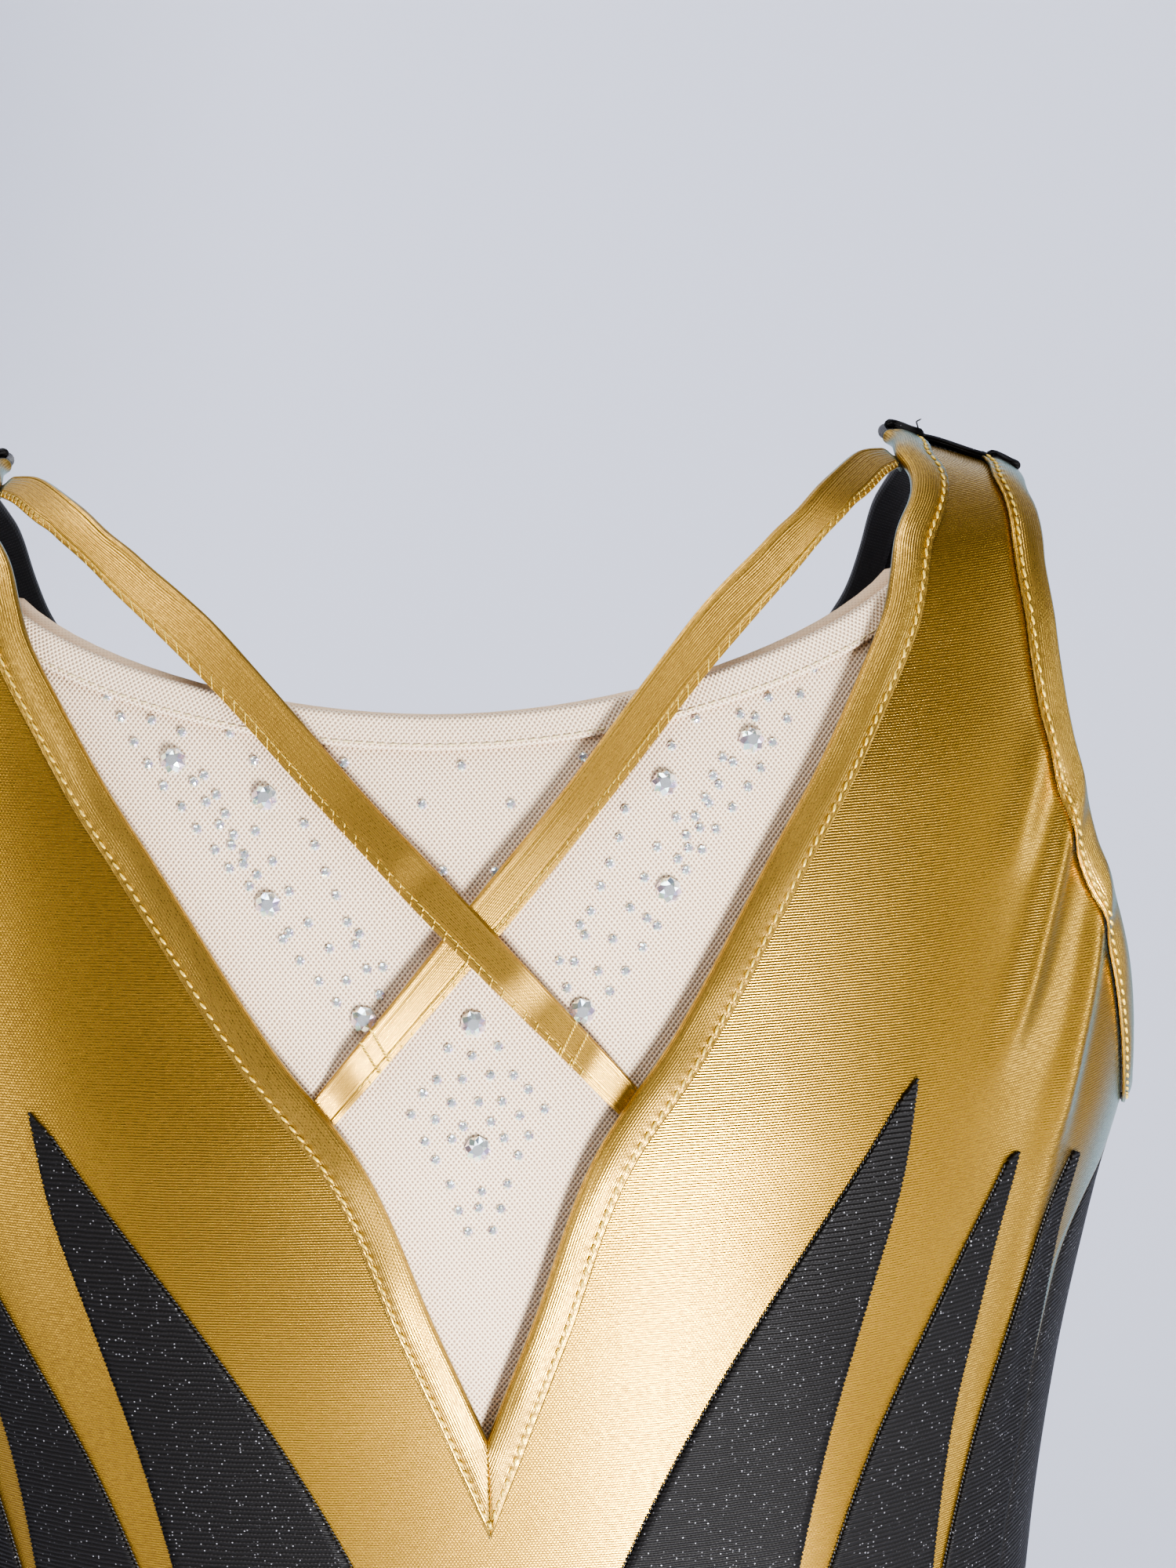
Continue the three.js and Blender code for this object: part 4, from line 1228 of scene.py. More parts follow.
def flame(name, side):
    inside, outside = (sampled(flame_side(places, flame_tips[name]), 640)
                       for places in flame_sides[name])
    grid = between(saw_edge(inside, -1), saw_edge(outside, 1), np.linspace(0, 1, 19))
    grid = grid if side == "left" else mirror(grid)[:, ::-1]
    return cloth_shell(f"flame_{name}_{side}_knit", [grid], flame_layer, flame_cloth,
                       black_glitter, black_reverse)


for side in ("left", "right"):
    for name in flame_tips:
        dressed[f"flame_{name}_{side}"] = flame(name, side)
print("flame faces:", len(dressed["flame_inner_left"].data.polygons))

# %% [markdown]
# ## Crossed straps
#
# Each strap is a gold strip folded lengthwise into a flat tube, and one passes over the other. The
# section is a flattened round with a rolled upper edge and a row of lengthwise ribs. The ends dip
# under the neck bindings, where they're sewn in.

# %% Straps over the yoke
strap_lift, crossing_length = 1.4, 22
strap_stand_off = -1.6  # the ends run this far under the bindings
strap_half = 0.52


def beside_neck(share):
    near = neck_line(np.array([share - 0.01, share, share + 0.01]))
    return walk(near, inward(near, 1), -strap_stand_off)[1]


strap_upper = line([beside_neck(0.06), (0.70, 0.0), (0.50, -0.018 * neck_depth),
                    (0.398, -0.040 * neck_depth), (0.325, -0.066 * neck_depth),
                    (0.23, -0.124 * neck_depth), (0.053, -0.343 * neck_depth),
                    mirror(beside_neck(0.708))])
strap_lower = line([beside_neck(0.12), (0.625, -0.020 * neck_depth), (0.524, -0.033 * neck_depth),
                    (0.458, -0.046 * neck_depth), (0.362, -0.082 * neck_depth),
                    (0.245, -0.168 * neck_depth), (0.02, -0.453 * neck_depth),
                    mirror(beside_neck(0.73))])
crossing = surface([0, -0.44 * neck_depth])
strap_steps, strap_points = 420, 44


def smooth(value, low, high):
    t = np.clip((value - low) / (high - low), 0, 1)
    return t * t * (3 - 2 * t)


def strap_height(places, over, share_along):
    height = np.full(places.shape[:-1], strap_layer + strap_cloth / 2)
    if over:
        away = np.linalg.norm(surface(places) - crossing, axis=-1)
        height += strap_lift * smooth(crossing_length - away, 0, crossing_length / 2)
    end = np.minimum(share_along, 1 - share_along)
    return height - 1.9 * (1 - smooth(end, 0.015, 0.06)) + 0.4 * smooth(end, 0.03, 0.12)


def cross_strap(side):
    upper, lower = sampled(strap_upper, strap_steps), sampled(strap_lower, strap_steps)
    share = (1 - np.cos(np.linspace(0, np.pi, strap_points))) / 2
    grid = between(upper, lower, share)
    along = np.linspace(0, 1, strap_steps + 1)[:, None]
    middle = strap_height(grid, side == "right", along)
    rolled = 0.35 * np.exp(-((share - 0.07) / 0.05)**2)
    ribs = 0.07 * np.cos(share * 2 * np.pi * 11) * smooth(share, 0.12, 0.2) * smooth(share, 1, 0.85)
    half = strap_half * (1 - (2 * share - 1)**6)**0.5 + 0.02
    groove = 0.22 * np.exp(-((share - 0.80) / 0.03)**2)
    wave = 0.12 * np.sin(along * 31) * np.sin(share * np.pi)
    top = middle + half + rolled + ribs - groove + wave
    bottom = middle - half
    ring_places = np.concatenate([grid, grid[:, -2:0:-1]], axis=1)
    ring_heights = np.concatenate([top, bottom[:, -2:0:-1]], axis=1)
    if side == "right":
        ring_places = mirror(ring_places)
    points = lifted(ring_places, ring_heights)
    count, size = points.shape[:2]
    path = np.r_[0, np.cumsum(np.linalg.norm(np.diff(points[:, 0], axis=0), axis=1))]
    width = np.linalg.norm(points[count // 2, 0] - points[count // 2, strap_points - 1])
    across = np.concatenate([share, share[-2::-1], [-share[1]]])[:size + 1] * width
    i, j = np.meshgrid(np.arange(count - 1), np.arange(size), indexing="ij")
    beside = (j + 1) % size
    faces = np.stack([i * size + j, i * size + beside, (i + 1) * size + beside,
                      (i + 1) * size + j], axis=-1).reshape(-1, 4)
    uv = np.stack([np.stack([path[p], across[q]], -1) for p, q in (
        (i, j), (i, j + 1), (i + 1, j + 1), (i + 1, j))], axis=2).reshape(-1, 4, 2) * mm
    cap = np.arange(size // 2 - 1)
    ends = np.stack([cap, cap + 1, size - 2 - cap, size - 1 - cap], axis=1)
    faces = np.vstack([faces, ends[:, ::-1], ends + (count - 1) * size])
    uv = np.vstack([uv, np.zeros((2 * len(cap), 4, 2))])
    flat_points = points.reshape(-1, 3)
    return make_piece(f"cross_strap_{side}_tube", flat_points,
                      *turned_out(flat_points, faces, uv), [gold_strap])


for side in ("left", "right"):
    dressed[f"cross_strap_{side}"] = cross_strap(side)
print("strap faces:", len(dressed["cross_strap_left"].data.polygons))

# %% [markdown]
# ## Stitches
#
# Hundreds of stitches follow the edges, all alike, so they're set out by Geometry Nodes: a line of
# points, an even spacing, and one small stitch turned along the line at each. The line carries the
# cloth's normal, which tells every stitch which way is out. The result is made into a plain mesh.

# %% Node trees for repeats


class Recipe:
    """A Geometry Nodes tree with named inputs."""

    def __init__(self, name):
        self.tree = bpy.data.node_groups.new(name, "GeometryNodeTree")
        self.sockets = {}
        self.add_input("Geometry", "NodeSocketGeometry")
        self.tree.interface.new_socket("Geometry", in_out="OUTPUT",
                                       socket_type="NodeSocketGeometry")
        self.source = self.tree.nodes.new("NodeGroupInput")
        self.result = self.tree.nodes.new("NodeGroupOutput")

    def add_input(self, name, kind):
        socket = self.tree.interface.new_socket(name, in_out="INPUT", socket_type=kind)
        self.sockets[name] = socket.identifier

    def node(self, kind, settings=None, inputs=None, output=0):
        node = self.tree.nodes.new(kind)
        for key, value in (settings or {}).items():
            setattr(node, key, value)
        for key, value in (inputs or {}).items():
            if isinstance(value, bpy.types.NodeSocket):
                self.tree.links.new(value, node.inputs[key])
            else:
                node.inputs[key].default_value = value
        return node.outputs[output]

    def made_plain(self, name, carrier, values):
        """Runs the tree on a carrier mesh and keeps only what it makes."""
        modifier = carrier.modifiers.new("recipe", "NODES")
        modifier.node_group = self.tree
        for key, value in values.items():
            modifier[self.sockets[key]] = value
        bpy.context.view_layer.update()
        ready = carrier.evaluated_get(bpy.context.evaluated_depsgraph_get())
        mesh = bpy.data.meshes.new_from_object(ready)
        mesh.name = name
        piece = bpy.data.objects.new(name, mesh)
        bpy.context.scene.collection.objects.link(piece)
        bpy.data.objects.remove(carrier)
        return piece


def stitch_recipe():
    recipe = Recipe("stitches along lines")
    for name, kind in (("Stitch", "NodeSocketObject"), ("Pitch", "NodeSocketFloat"),
                       ("Length", "NodeSocketFloat"), ("Width", "NodeSocketFloat"),
                       ("Skew", "NodeSocketFloat"), ("Thread", "NodeSocketMaterial")):
        recipe.add_input(name, kind)
    source = recipe.source.outputs
    lines = recipe.node("GeometryNodeMeshToCurve", {}, {"Mesh": source["Geometry"]})
    spaced = recipe.node("GeometryNodeResampleCurve", {"mode": "LENGTH"},
                         {"Curve": lines, "Length": source["Pitch"]})
    tangent = recipe.node("GeometryNodeInputTangent")
    normal = recipe.node("GeometryNodeInputNamedAttribute", {"data_type": "FLOAT_VECTOR"},
                         {"Name": "out"})
    facing = recipe.node("FunctionNodeAxesToRotation",
                         {"primary_axis": "Z", "secondary_axis": "X"},
                         {"Primary Axis": normal, "Secondary Axis": tangent})
    jitter = recipe.node("FunctionNodeRandomValue", {"data_type": "FLOAT"},
                         {2: -0.08, 3: 0.08, "Seed": 7}, 1)
    skew = recipe.node("ShaderNodeMath", {"operation": "ADD"}, {0: jitter, 1: source["Skew"]})
    spin = recipe.node("FunctionNodeAxisAngleToRotation", {}, {"Axis": (0, 0, 1), "Angle": skew})
    turned = recipe.node("FunctionNodeRotateRotation", {"rotation_space": "LOCAL"},
                         {"Rotation": facing, "Rotate By": spin})
    size = recipe.node("ShaderNodeCombineXYZ", {}, {0: source["Length"], 1: source["Width"],
                                                    2: source["Width"]})
    prototype = recipe.node("GeometryNodeObjectInfo", {}, {"Object": source["Stitch"]}, 4)
    placed = recipe.node("GeometryNodeInstanceOnPoints", {}, {
        "Points": spaced, "Instance": prototype, "Rotation": turned, "Scale": size})
    real = recipe.node("GeometryNodeRealizeInstances", {}, {"Geometry": placed})
    shaded = recipe.node("GeometryNodeSetMaterial", {}, {"Geometry": real,
                                                         "Material": source["Thread"]})
    recipe.tree.links.new(shaded, recipe.result.inputs[0])
    return recipe


stitches = stitch_recipe()
print("stitch recipe inputs:", ", ".join(stitches.sockets))

# %% [markdown]
# One stitch is a plump grain with pointed ends, only as fine as it can be seen. The lines it follows are
# worked out from the same frames as the bindings, so the stitching stays a set distance from the edge.

# %% A stitch, and lines for it to follow


def unit_stitch():
    """A plump grain of thread, one long and one wide, with its underside sunk."""
    rings = [(-0.5, 0.0), (-0.36, 0.34), (0.0, 0.5), (0.36, 0.34), (0.5, 0.0)]
    mesh = bpy.data.meshes.new("one_stitch")
    shape = bmesh.new()
    rows = []
    for x, radius in rings:
        if radius == 0:
            rows.append([shape.verts.new((x, 0, -0.1))])
        else:
            angles = np.arange(6) * np.pi / 3
            rows.append([shape.verts.new((x, radius * np.cos(a), 0.15 + radius * np.sin(a)))
                         for a in angles])
    for near, far in zip(rows, rows[1:]):
        for k in range(6):
            if len(near) == 1:
                shape.faces.new((near[0], far[(k + 1) % 6], far[k]))
            elif len(far) == 1:
                shape.faces.new((near[k], near[(k + 1) % 6], far[0]))
            else:
                shape.faces.new((near[k], near[(k + 1) % 6], far[(k + 1) % 6], far[k]))
    for face in shape.faces:
        face.smooth = True
    bmesh.ops.recalc_face_normals(shape, faces=shape.faces)
    shape.to_mesh(mesh)
    shape.free()
    return bpy.data.objects.new("one_stitch", mesh)


def line_carrier(paths):
    """A mesh of edges through points in millimetres, each with its outward direction."""
    points = np.vstack([p for p, _ in paths])
    normals = np.vstack([n for _, n in paths])
    edges, start = [], 0
    for p, _ in paths:
        edges += [(start + k, start + k + 1) for k in range(len(p) - 1)]
        start += len(p)
    mesh = bpy.data.meshes.new("lines")
    mesh.from_pydata((points * mm).tolist(), edges, [])
    out = mesh.attributes.new("out", "FLOAT_VECTOR", "POINT")
    out.data.foreach_set("vector", normals.astype(np.float32).ravel())
    carrier = bpy.data.objects.new("lines", mesh)
    bpy.context.scene.collection.objects.link(carrier)
    return carrier


def on_form(places, height):
    return lifted(places, height), outward(places)


def seam_path(frames, inset, height):
    places, into, stretch = frames
    return on_form(walk(places, into, inset * stretch), height)


one_stitch = unit_stitch()


def sew(name, paths, pitch, length, width, skew, material):
    return stitches.made_plain(name, line_carrier(paths), {
        "Stitch": one_stitch, "Pitch": pitch * mm, "Length": length * mm, "Width": width * mm,
        "Skew": skew, "Thread": material})


print("one stitch has", len(one_stitch.data.polygons), "faces")

# %% [markdown]
# Gold thread holds the neck binding and the front of the armholes, and black thread the back of the
# armholes and the back neck. The hem has a pale line, and close slanted stitches run along the flames.
# Lines sewn alike are made as one piece.

# %% Stitching on the bindings, hem and flames
binding_top = outer_layer + 0.1 + binding_cloth / 2
gold_seams, black_seams = [], []
for side in ("left", "right"):
    gold_seams += [seam_path(sided(neck_frames, side), stitch_inset, binding_top + 0.05),
                   seam_path(sided(front_arm_frames, side), stitch_inset, binding_top + 0.02)]
    black_seams += [seam_path(sided(back_arm_frames, side), stitch_inset, binding_top)]
black_seams += [seam_path(back_neck_frames, stitch_inset, binding_top)]
binding_stitches = sew("binding_stitches", gold_seams, stitch_pitch, 2.1, 0.72, 0.2, gold_thread)
binding_whipping = sew("binding_stitch_crossings", gold_seams, stitch_pitch, 0.9, 0.5, 1.1,
                       gold_thread)
back_stitches = sew("back_binding_stitches", black_seams, stitch_pitch, 2.2, 0.55, 0.1,
                    black_thread)

hem_line = sampled(hem_top, 400, 0.02, 0.98)
hem_path = on_form(walk(hem_line, inward(hem_line, -1), 6.0), hem_front_layer + mesh_cloth + 0.05)
hem_stitches = sew("hem_stitches", [hem_path], 2.3, 1.9, 0.34, 0.05, pale_thread)


def flame_seams(side):
    for name in flame_tips:
        for places, towards in zip(flame_sides[name], (-1, 1)):
            edge = sampled(flame_side(places, flame_tips[name]), 400, 0.01, 1)
            edge = walk(edge, inward(edge, 1) * (1 if towards < 0 else -1), -0.2)
            yield on_form(edge if side == "left" else mirror(edge), cloth + 0.28)


flame_stitches = sew("flame_edge_stitches", [*flame_seams("left"), *flame_seams("right")],
                     0.9, 1.0, 0.42, 0.5, black_thread)
print("stitch faces:", sum(len(p.data.polygons) for p in (
    binding_stitches, binding_whipping, back_stitches, hem_stitches, flame_stitches)))

# %% [markdown]
# The straps have a row of cross ticks near the lower edge, and two bars of stitching where they go
# under the bindings.

# %% Strap ticks and bars


def strap_place(across, shares):
    return strap_upper(shares) * (1 - across) + strap_lower(shares) * across


def strap_paths(side, across_pairs, shares, rise):
    for share in shares:
        across = np.linspace(*across_pairs, 8)
        places = np.array([strap_place(a, share) for a in across])
        height = strap_height(places, side == "right", share) + strap_half + rise
        places = places if side == "left" else mirror(places)
        yield on_form(places, height)


def strap_lines(side, across, start, end, rise):
    shares = np.linspace(start, end, 400)
    places = strap_place(across, shares)
    height = strap_height(places, side == "right", shares) + strap_half + rise
    return on_form(places if side == "left" else mirror(places), height)


tick_shares = np.linspace(0.06, 0.94, 62)
ticks = [path for side in ("left", "right")
         for path in strap_paths(side, (0.84, 0.96), tick_shares, 0.0)]
bars = [path for side in ("left", "right")
        for path in strap_paths(side, (0.04, 0.96), (0.914, 0.928), 0.08)]
strap_ticks = sew("strap_ticks", ticks, 0.8, 1.0, 0.36, 0.0, gold_thread)
strap_bars = sew("strap_bars", bars, 0.7, 0.9, 0.42, 0.6, gold_thread)
strap_seam = sew("strap_seams", [strap_lines(side, 0.82, 0.05, 0.95, -0.2)
                                 for side in ("left", "right")], 1.6, 1.7, 0.3, 0.1, gold_thread)
print("ticks:", len(ticks), "bars:", len(bars))

# %% [markdown]
# ## Stones
#
# The large stones lie in a V below the straps. Small ones follow in curved rows, with a loose diamond
# below. One cut stone, of some thirty facets, is placed by Geometry Nodes at every spot, with its
# own spin. A number kept for each facet picks its rainbow tint, and each stone keeps a random
# number too.

# %% One cut stone and the recipe for many


def cut_stone():
    """A flat-back stone of radius 1, its table up: table, kites, triangles and girdle."""
    def ring(radius, height, twist, count=8):
        angle = (np.arange(count) + twist) * 2 * np.pi / count
        return np.stack([radius * np.cos(angle), radius * np.sin(angle),
                         np.full(count, height)], -1)
    table, middle = ring(0.44, 0.78, 0.5), ring(0.75, 0.54, 0.0)
    girdle, base = ring(1.0, 0.2, 0.5), ring(1.0, 0.0, 0.5)
    points = np.vstack([table, middle, girdle, base])
    faces = [list(range(8)), list(range(31, 23, -1))]
    for k in range(8):
        n = (k + 1) % 8
        faces += [[k, 8 + n, n], [k, 8 + k, 16 + k, 8 + n], [8 + n, 16 + k, 16 + n],
                  [16 + k, 24 + k, 24 + n, 16 + n]]
    mesh = bpy.data.meshes.new("one_stone")
    mesh.from_pydata(points.tolist(), [], faces)
    shape = bmesh.new()
    shape.from_mesh(mesh)
    bmesh.ops.recalc_face_normals(shape, faces=shape.faces)
    shape.to_mesh(mesh)
    shape.free()
    tint = mesh.attributes.new("facet", "FLOAT", "FACE")
    shades = np.random.default_rng(11).random(len(mesh.polygons))
    shades[0] = 0.02
    tint.data.foreach_set("value", shades.astype(np.float32))
    return bpy.data.objects.new("one_stone", mesh)


def stone_recipe():
    recipe = Recipe("stones on points")
    for name, kind in (("Stone", "NodeSocketObject"), ("Finish", "NodeSocketMaterial"),
                       ("Seed", "NodeSocketInt")):
        recipe.add_input(name, kind)
    source = recipe.source.outputs
    points = recipe.node("GeometryNodeMeshToPoints", {}, {"Mesh": source["Geometry"]})
    normal = recipe.node("GeometryNodeInputNamedAttribute", {"data_type": "FLOAT_VECTOR"},
                         {"Name": "out"})
    radius = recipe.node("GeometryNodeInputNamedAttribute", {"data_type": "FLOAT"},
                         {"Name": "size"})
    facing = recipe.node("FunctionNodeAxesToRotation",
                         {"primary_axis": "Z", "secondary_axis": "X"},
                         {"Primary Axis": normal, "Secondary Axis": (1, 0, 0)})
    angle = recipe.node("FunctionNodeRandomValue", {"data_type": "FLOAT"},
                        {2: 0.0, 3: 0.785, "Seed": source["Seed"]}, 1)
    spin = recipe.node("FunctionNodeAxisAngleToRotation", {}, {"Axis": (0, 0, 1), "Angle": angle})
    turned = recipe.node("FunctionNodeRotateRotation", {"rotation_space": "LOCAL"},
                         {"Rotation": facing, "Rotate By": spin})
    prototype = recipe.node("GeometryNodeObjectInfo", {}, {"Object": source["Stone"]}, 4)
    placed = recipe.node("GeometryNodeInstanceOnPoints", {}, {
        "Points": points, "Instance": prototype, "Rotation": turned, "Scale": radius})
    chance = recipe.node("FunctionNodeRandomValue", {"data_type": "FLOAT"},
                         {2: 0.0, 3: 1.0, "Seed": 23}, 1)
    marked = recipe.node("GeometryNodeStoreNamedAttribute",
                         {"data_type": "FLOAT", "domain": "INSTANCE"},
                         {"Geometry": placed, "Name": "tint", "Value": chance})
    real = recipe.node("GeometryNodeRealizeInstances", {}, {"Geometry": marked})
    shaded = recipe.node("GeometryNodeSetMaterial", {}, {"Geometry": real,
                                                         "Material": source["Finish"]})
    recipe.tree.links.new(shaded, recipe.result.inputs[0])
    return recipe


stones = stone_recipe()
one_stone = cut_stone()
print("one stone has", len(one_stone.data.polygons), "facets")

# %% [markdown]
# The large stones are placed one by one, and the small ones in bowed rows beside them, with a diamond of
# them at the centre front. A little seeded scatter keeps the rows from looking ruled.

# %% Where the stones lie
large_radius, small_radius = 2.65, 1.03
stone_spots = [(58, 48), (40, 55), (40, 75.5), (21.8, 98)]
large_spots = stone_spots + [(-x, down) for x, down in stone_spots] + [(0, 99.5), (0, 124)]

# start, end, outward bow and number of stones in each row; across and down, in millimetres
stone_rows = [
    ((71, 36), (43.5, 72), 1.5, 10), ((37.5, 82), (27, 94.5), 0.5, 4),
    ((62, 40), (44.5, 68), -0.5, 8), ((56, 43), (36, 81), 0.0, 11),
    ((42, 61.5), (25, 90.5), 0.0, 6), ((32, 60), (17, 98), 0.0, 9), ((22, 81), (13, 95), 0.0, 3),
]
loose_stones = [(47, 43), (42, 48), (24, 49), (9, 57), (5, 70), (0, 50)]
diamond = {104: (5,), 105.5: (0,), 110: (2.8, 7.9), 112.5: (10.5,), 114.8: (0, 5), 116.5: (13.2,),
           118: (8.3,), 119: (2.9,), 122: (5, 10.4), 126: (8,), 131.5: (6,), 133: (0,),
           136.5: (0, 4.6), 141: (2.3,)}


def bowed_row(start, end, bow, count):
    share = np.linspace(0, 1, count)[:, None]
    start, end = np.array(start, float), np.array(end, float)
    side = unit(np.array([end[1] - start[1], start[0] - end[0]]))
    return start + (end - start) * share + side * bow * 4 * share * (1 - share)


def small_spots():
    half = np.vstack([*(bowed_row(*row) for row in stone_rows), np.array(loose_stones, float),
                      np.array([(x, down) for down, xs in diamond.items() for x in xs], float)])
    both = np.vstack([half, half[half[:, 0] > 0] * [-1, 1]])
    shift = np.random.default_rng(3).normal(0, 0.25, both.shape)
    both = both + np.clip(shift, -0.5, 0.5)
    gap = np.linalg.norm(both[:, None] - np.array(large_spots, float)[None], axis=-1).min(axis=1)
    return both[gap > 4.2]


def stone_carrier(spots, radius, spread):
    across, down = np.asarray(spots, float).T
    turn = np.sign(across) * turn_across(np.minimum(abs(across) / half_width_at(-down), 1))
    places = np.stack([turn, -down], axis=-1)
    mesh = bpy.data.meshes.new("stone_places")
    points = lifted(places, yoke_layer + mesh_cloth + 0.02)
    mesh.from_pydata((points * mm).tolist(), [], [])
    lean = np.random.default_rng(5).normal(0, spread, points.shape)
    out = mesh.attributes.new("out", "FLOAT_VECTOR", "POINT")
    out.data.foreach_set("vector", unit(outward(places) + lean).astype(np.float32).ravel())
    size = mesh.attributes.new("size", "FLOAT", "POINT")
    size.data.foreach_set("value", np.full(len(points), radius * mm, np.float32))
    carrier = bpy.data.objects.new("stone_places", mesh)
    bpy.context.scene.collection.objects.link(carrier)
    return carrier


small_places = small_spots()
small_stones = stones.made_plain("small_stones", stone_carrier(small_places, small_radius, 0.05),
                                 {"Stone": one_stone, "Finish": stone_glass, "Seed": 2})
large_stones = []
for number, spot in enumerate(large_spots, 1):
    stone = stones.made_plain(f"large_stone_{number}_cut",
                              stone_carrier([spot], large_radius, 0.02),
                              {"Stone": one_stone, "Finish": stone_glass, "Seed": 40 + number})
    large_stones.append(stone)
    dressed[f"large_stone_{number}"] = stone
print("small stones:", len(small_places), "large stones:", len(large_stones))

# %% [markdown]
# ## Shoulder seam
#
# Where front and back meet on the shoulder, the folded black cloth of the back shows as three small
# rolls beside the gold. On the wearer's left one thread end was left untrimmed.

# %% Rolls on each shoulder, and a thread end


def tube(name, centre, radius, material, sides=10):
    """A round tube through points, in millimetres, with tapered ends."""
    centre = np.asarray(centre, float)
    tangent = unit(np.gradient(centre, axis=0))
    side = unit(np.cross(tangent, [0.3, 0.2, 1.0]))
    up = np.cross(tangent, side)
    share = np.linspace(0, 1, len(centre))
    taper = np.sqrt(np.clip(1 - (2 * share - 1)**8, 0.01, 1)) * radius
    angle = np.arange(sides) * 2 * np.pi / sides
    ring = (np.cos(angle)[None, :, None] * side[:, None]
            + np.sin(angle)[None, :, None] * up[:, None]) * taper[:, None, None]
    points = (centre[:, None] + ring).reshape(-1, 3)
    count, size = len(centre), sides
    i, j = np.meshgrid(np.arange(count - 1), np.arange(size), indexing="ij")
    beside = (j + 1) % size
    faces = np.stack([i * size + j, i * size + beside, (i + 1) * size + beside,
                      (i + 1) * size + j], axis=-1).reshape(-1, 4)
    length = np.r_[0, np.cumsum(np.linalg.norm(np.diff(centre, axis=0), axis=1))]
    round_it = np.arange(size + 1) * 2 * np.pi * radius / size
    uv = np.stack([np.stack([length[p], round_it[q]], -1) for p, q in (
        (i, j), (i, j + 1), (i + 1, j + 1), (i + 1, j))], axis=2).reshape(-1, 4, 2) * mm
    cap = np.arange(size // 2 - 1)
    ends = np.stack([cap, cap + 1, size - 2 - cap, size - 1 - cap], axis=1)
    faces = np.vstack([faces, ends[:, ::-1], ends + (count - 1) * size])
    uv = np.vstack([uv, np.zeros((2 * len(cap), 4, 2))])
    return make_piece(name, points, *turned_out(points, faces, uv), [material])


def shoulder_roll(name, start, end, back, height, radius, flip=1):
    """A roll lying over the ridge from one distance across to another, in millimetres."""
    across = np.linspace(start, end, 60)
    sway = 1.2 * np.sin(np.linspace(0, 2 * np.pi, 60))
    places = np.array([place_above(x, back + s) for x, s in zip(across, sway)], float)
    points = lifted(places, height) * [flip, 1, 1]
    return tube(name, points, radius, black_glitter)


rolls = []
for side, flip in (("left", 1), ("right", -1)):
    rolls += [shoulder_roll(f"shoulder_roll_inner_{side}", 91, 98.5, 1.4, 2.4, 1.25, flip),
              shoulder_roll(f"shoulder_roll_middle_{side}", 97.5, 113.5, 1.8, 1.5, 0.95, flip),
              shoulder_roll(f"shoulder_roll_outer_{side}", 112.5, 118.5, 1.2, 2.2, 1.15, flip)]
tail_path = np.array([(98.0, 0.6, -1.0), (98.3, 0.0, 1.4), (97.8, -0.6, 3.0), (98.9, -0.9, 3.6)])
tail_share = np.linspace(0, 3, 24)
tail_points = np.stack([np.interp(tail_share, range(4), tail_path[:, k]) for k in range(3)], -1)
thread_tail = tube("thread_tail", tail_points, 0.16, black_thread, 6)
print("shoulder rolls:", len(rolls))

# %% [markdown]
# ## Joining the pieces to the solid model
#
# Every piece rides on the garment's one body and stands for the plain solid it replaces, which is
# hidden.

# %% Ride and replace
dressed.update({
    "front_bodice": bodice, "back_panel": back, "lower_front_panel": lower_front,
    "mesh_yoke": yoke, "mesh_yoke_hem": hem, "front_lining": lining, "gusset_lining": gusset,
    "back_neck_binding": back_neck_fold})


def slot_for(node):
    if node.startswith("large_stone"):
        return "crystal"
    if "elastic" in node:
        return "elastic"
    if node.startswith("mesh_yoke"):
        return "nude_mesh"
    if "lining" in node or "tape" in node:
        return "nude_tricot"
    if "flame" in node or node in ("back_panel", "lower_front_panel"):
        return "black_glitter"
    if "binding_back" in node or "leg_binding" in node or node == "back_neck_binding":
        return "black_binding"
    return "gold_foil" if node == "front_bodice" else "gold_binding"


for node, piece in dressed.items():
    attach(piece, "root")
    slot_for(node)
    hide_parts(node)

extras = {
    "gold_binding": [binding_stitches, binding_whipping, strap_ticks, strap_bars, strap_seam],
    "black_binding": [back_stitches, flame_stitches, thread_tail],
    "black_glitter": rolls, "nude_mesh": [hem_stitches], "crystal": [small_stones],
}
for name, pieces in extras.items():
    for piece in pieces:
        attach(piece, "root")

missing = [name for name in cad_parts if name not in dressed]
print("nodes dressed:", len(dressed), "left out:", missing)

# %% [markdown]
# A dressed piece should stay where the solid model has it, so the largest differences between their
# boxes are printed.

# %% How far each piece is from the node it stands for


def drift(node, piece):
    low, high = (np.array(corner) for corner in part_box(node))
    points = np.array([v.co for v in piece.data.vertices])
    return max(abs(points.min(axis=0) - low).max(), abs(points.max(axis=0) - high).max())


drifts = sorted(((drift(node, piece) * 1000, node) for node, piece in dressed.items()),
                reverse=True)
for distance, node in drifts[:8]:
    print(f"{node} differs by {distance:.1f} mm")

# %% [markdown]
# The flat size of each sheet is what its pattern piece would fit in, and its flat area comes from the
# same UV map. Half the area of a shell's faces is printed too, and should come close to it.


def cloth_area(piece):
    return sum(face.area for face in piece.data.polygons) / 2


measured = {node: cloth_area(piece) for node, piece in dressed.items()
            if not node.startswith("large_stone")}
for node, area in sorted(measured.items()):
    print(f"{node}: {area * 1e4:.1f} cm2")


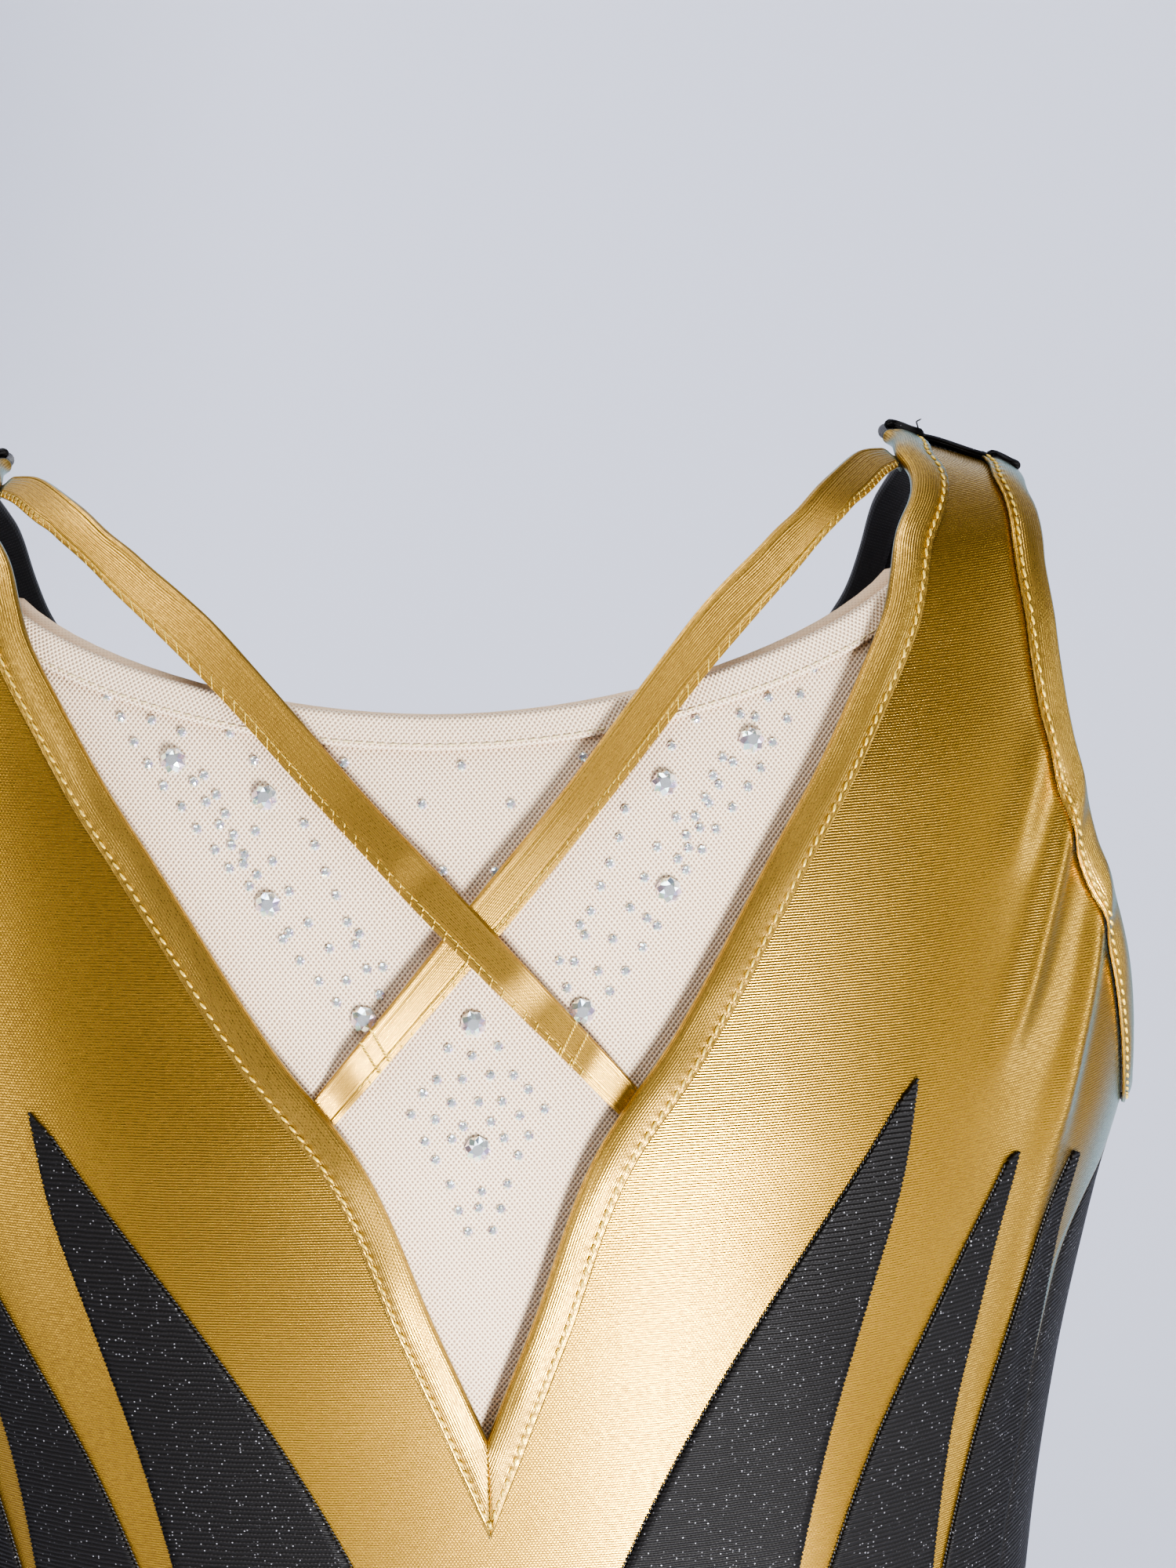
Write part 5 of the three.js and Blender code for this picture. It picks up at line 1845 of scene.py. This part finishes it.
def flat_size(piece):
    """Width, length and area of the cloth laid flat, by the distances in its UV map."""
    mesh = piece.data
    uv = np.empty(len(mesh.loops) * 2, np.float32)
    mesh.uv_layers["cloth"].data.foreach_get("uv", uv)
    corners = uv.reshape(-1, 4, 2)
    span = np.ptp(corners.reshape(-1, 2), axis=0)
    a, b, c, d = (corners[:, k].astype(float) for k in range(4))
    area = abs(np.cross(c - a, d - b)).sum() / 4
    return span[0], span[1], area


panels = {
    "front_bodice": "front_lining_cloth", "front_lining": "mesh_yoke_net",
    "mesh_yoke": "front_lining_cloth", "back_panel": "front_bodice_cloth",
    "lower_front_panel": "back_panel_cloth", "gusset_lining": "lower_front_cloth"}
panels.update({f"flame_{name}_{side}": "front_bodice_cloth"
               for name in flame_tips for side in ("left", "right")})
for node, under in panels.items():
    piece = dressed[node]
    width, length, area = flat_size(piece)
    print(f"{node}: {width * 1000:.0f} x {length * 1000:.0f} mm, {area * 1e4:.1f} cm2")

# %% [markdown]
# The bindings and the net hem are strips folded over an edge. Their flat width is both sides of the
# fold together, and their length is that of the edge.


def strip_size(piece):
    """Width and length of a folded strip's cloth: half way round its section, and along it."""
    mesh = piece.data
    uv = np.empty(len(mesh.loops) * 2, np.float32)
    mesh.uv_layers["cloth"].data.foreach_get("uv", uv)
    along, across = uv.reshape(-1, 2).max(axis=0)
    return across / 2, along


for node, piece in dressed.items():
    if "_binding" in node or node == "mesh_yoke_hem":
        width, length = strip_size(piece)
        area = min(measured[node], width * length)
        print(f"{node}: {width * 1000:.1f} x {length * 1000:.0f} mm, {area * 1e4:.1f} cm2")
        under = "mesh_yoke_net" if node == "mesh_yoke_hem" else "front_bodice_cloth"

# %% [markdown]
# ## Light
#
# Foil shows its surroundings, so the lights are chosen for their reflections. A softbox stands low in
# front on the wearer's left and is mirrored as the tall white sheen at the waist. A broad, weaker one
# above fills the net and the stones, and the rest of the room is left fairly dark.

# %% Lights and world


def softbox(name, place, aim, width, height, power, colour=(1, 1, 1)):
    light = bpy.data.lights.new(name, "AREA")
    light.shape, light.size, light.size_y = "RECTANGLE", width, height
    light.energy, light.color = power, colour
    holder = bpy.data.objects.new(name, light)
    direction = Vector(aim) - Vector(place)
    holder.matrix_world = (Matrix.Translation(place)
                           @ direction.to_track_quat("-Z", "Y").to_matrix().to_4x4())
    bpy.context.scene.collection.objects.link(holder)
    return holder


chest = (0.0, -0.08, -0.15)
softbox("low key", (0.42, -1.25, -0.66), chest, 0.30, 0.36, 42)
softbox("side card", (1.36, -0.72, -0.02), chest, 0.10, 0.7, 0.6)
softbox("left fill", (-1.5, -1.0, 0.2), chest, 0.5, 1.0, 5.5)
softbox("right strip", (1.45, -0.25, -0.1), chest, 0.22, 1.1, 4, (0.90, 0.97, 1.0))
softbox("top fill", (-0.1, -0.9, 1.5), chest, 0.9, 0.9, 6.5)
softbox("backdrop light", (-0.7, 0.2, 1.9), (-0.2, 1.2, -0.4), 2.2, 0.8, 29, (0.98, 0.98, 1.0))

world = bpy.data.worlds.new("studio")
world.use_nodes = True
room = world.node_tree.nodes["Background"]
room.inputs["Color"].default_value = (0.60, 0.62, 0.70, 1)
room.inputs["Strength"].default_value = 0.09
bpy.context.scene.world = world
bpy.context.scene.view_settings.view_transform = "AgX"
bpy.context.scene.view_settings.look = "AgX - Medium High Contrast"
bpy.context.scene.view_settings.exposure = 0.5

# %% [markdown]
# The box of the finished pieces is compared with the solid model's, and both are written down.

# %% Size of the finished pieces
final_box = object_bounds()
for low, high, axis in zip(final_box[0], final_box[1], "xyz"):
    print(f"{axis}: {low:.4f} to {high:.4f} m")
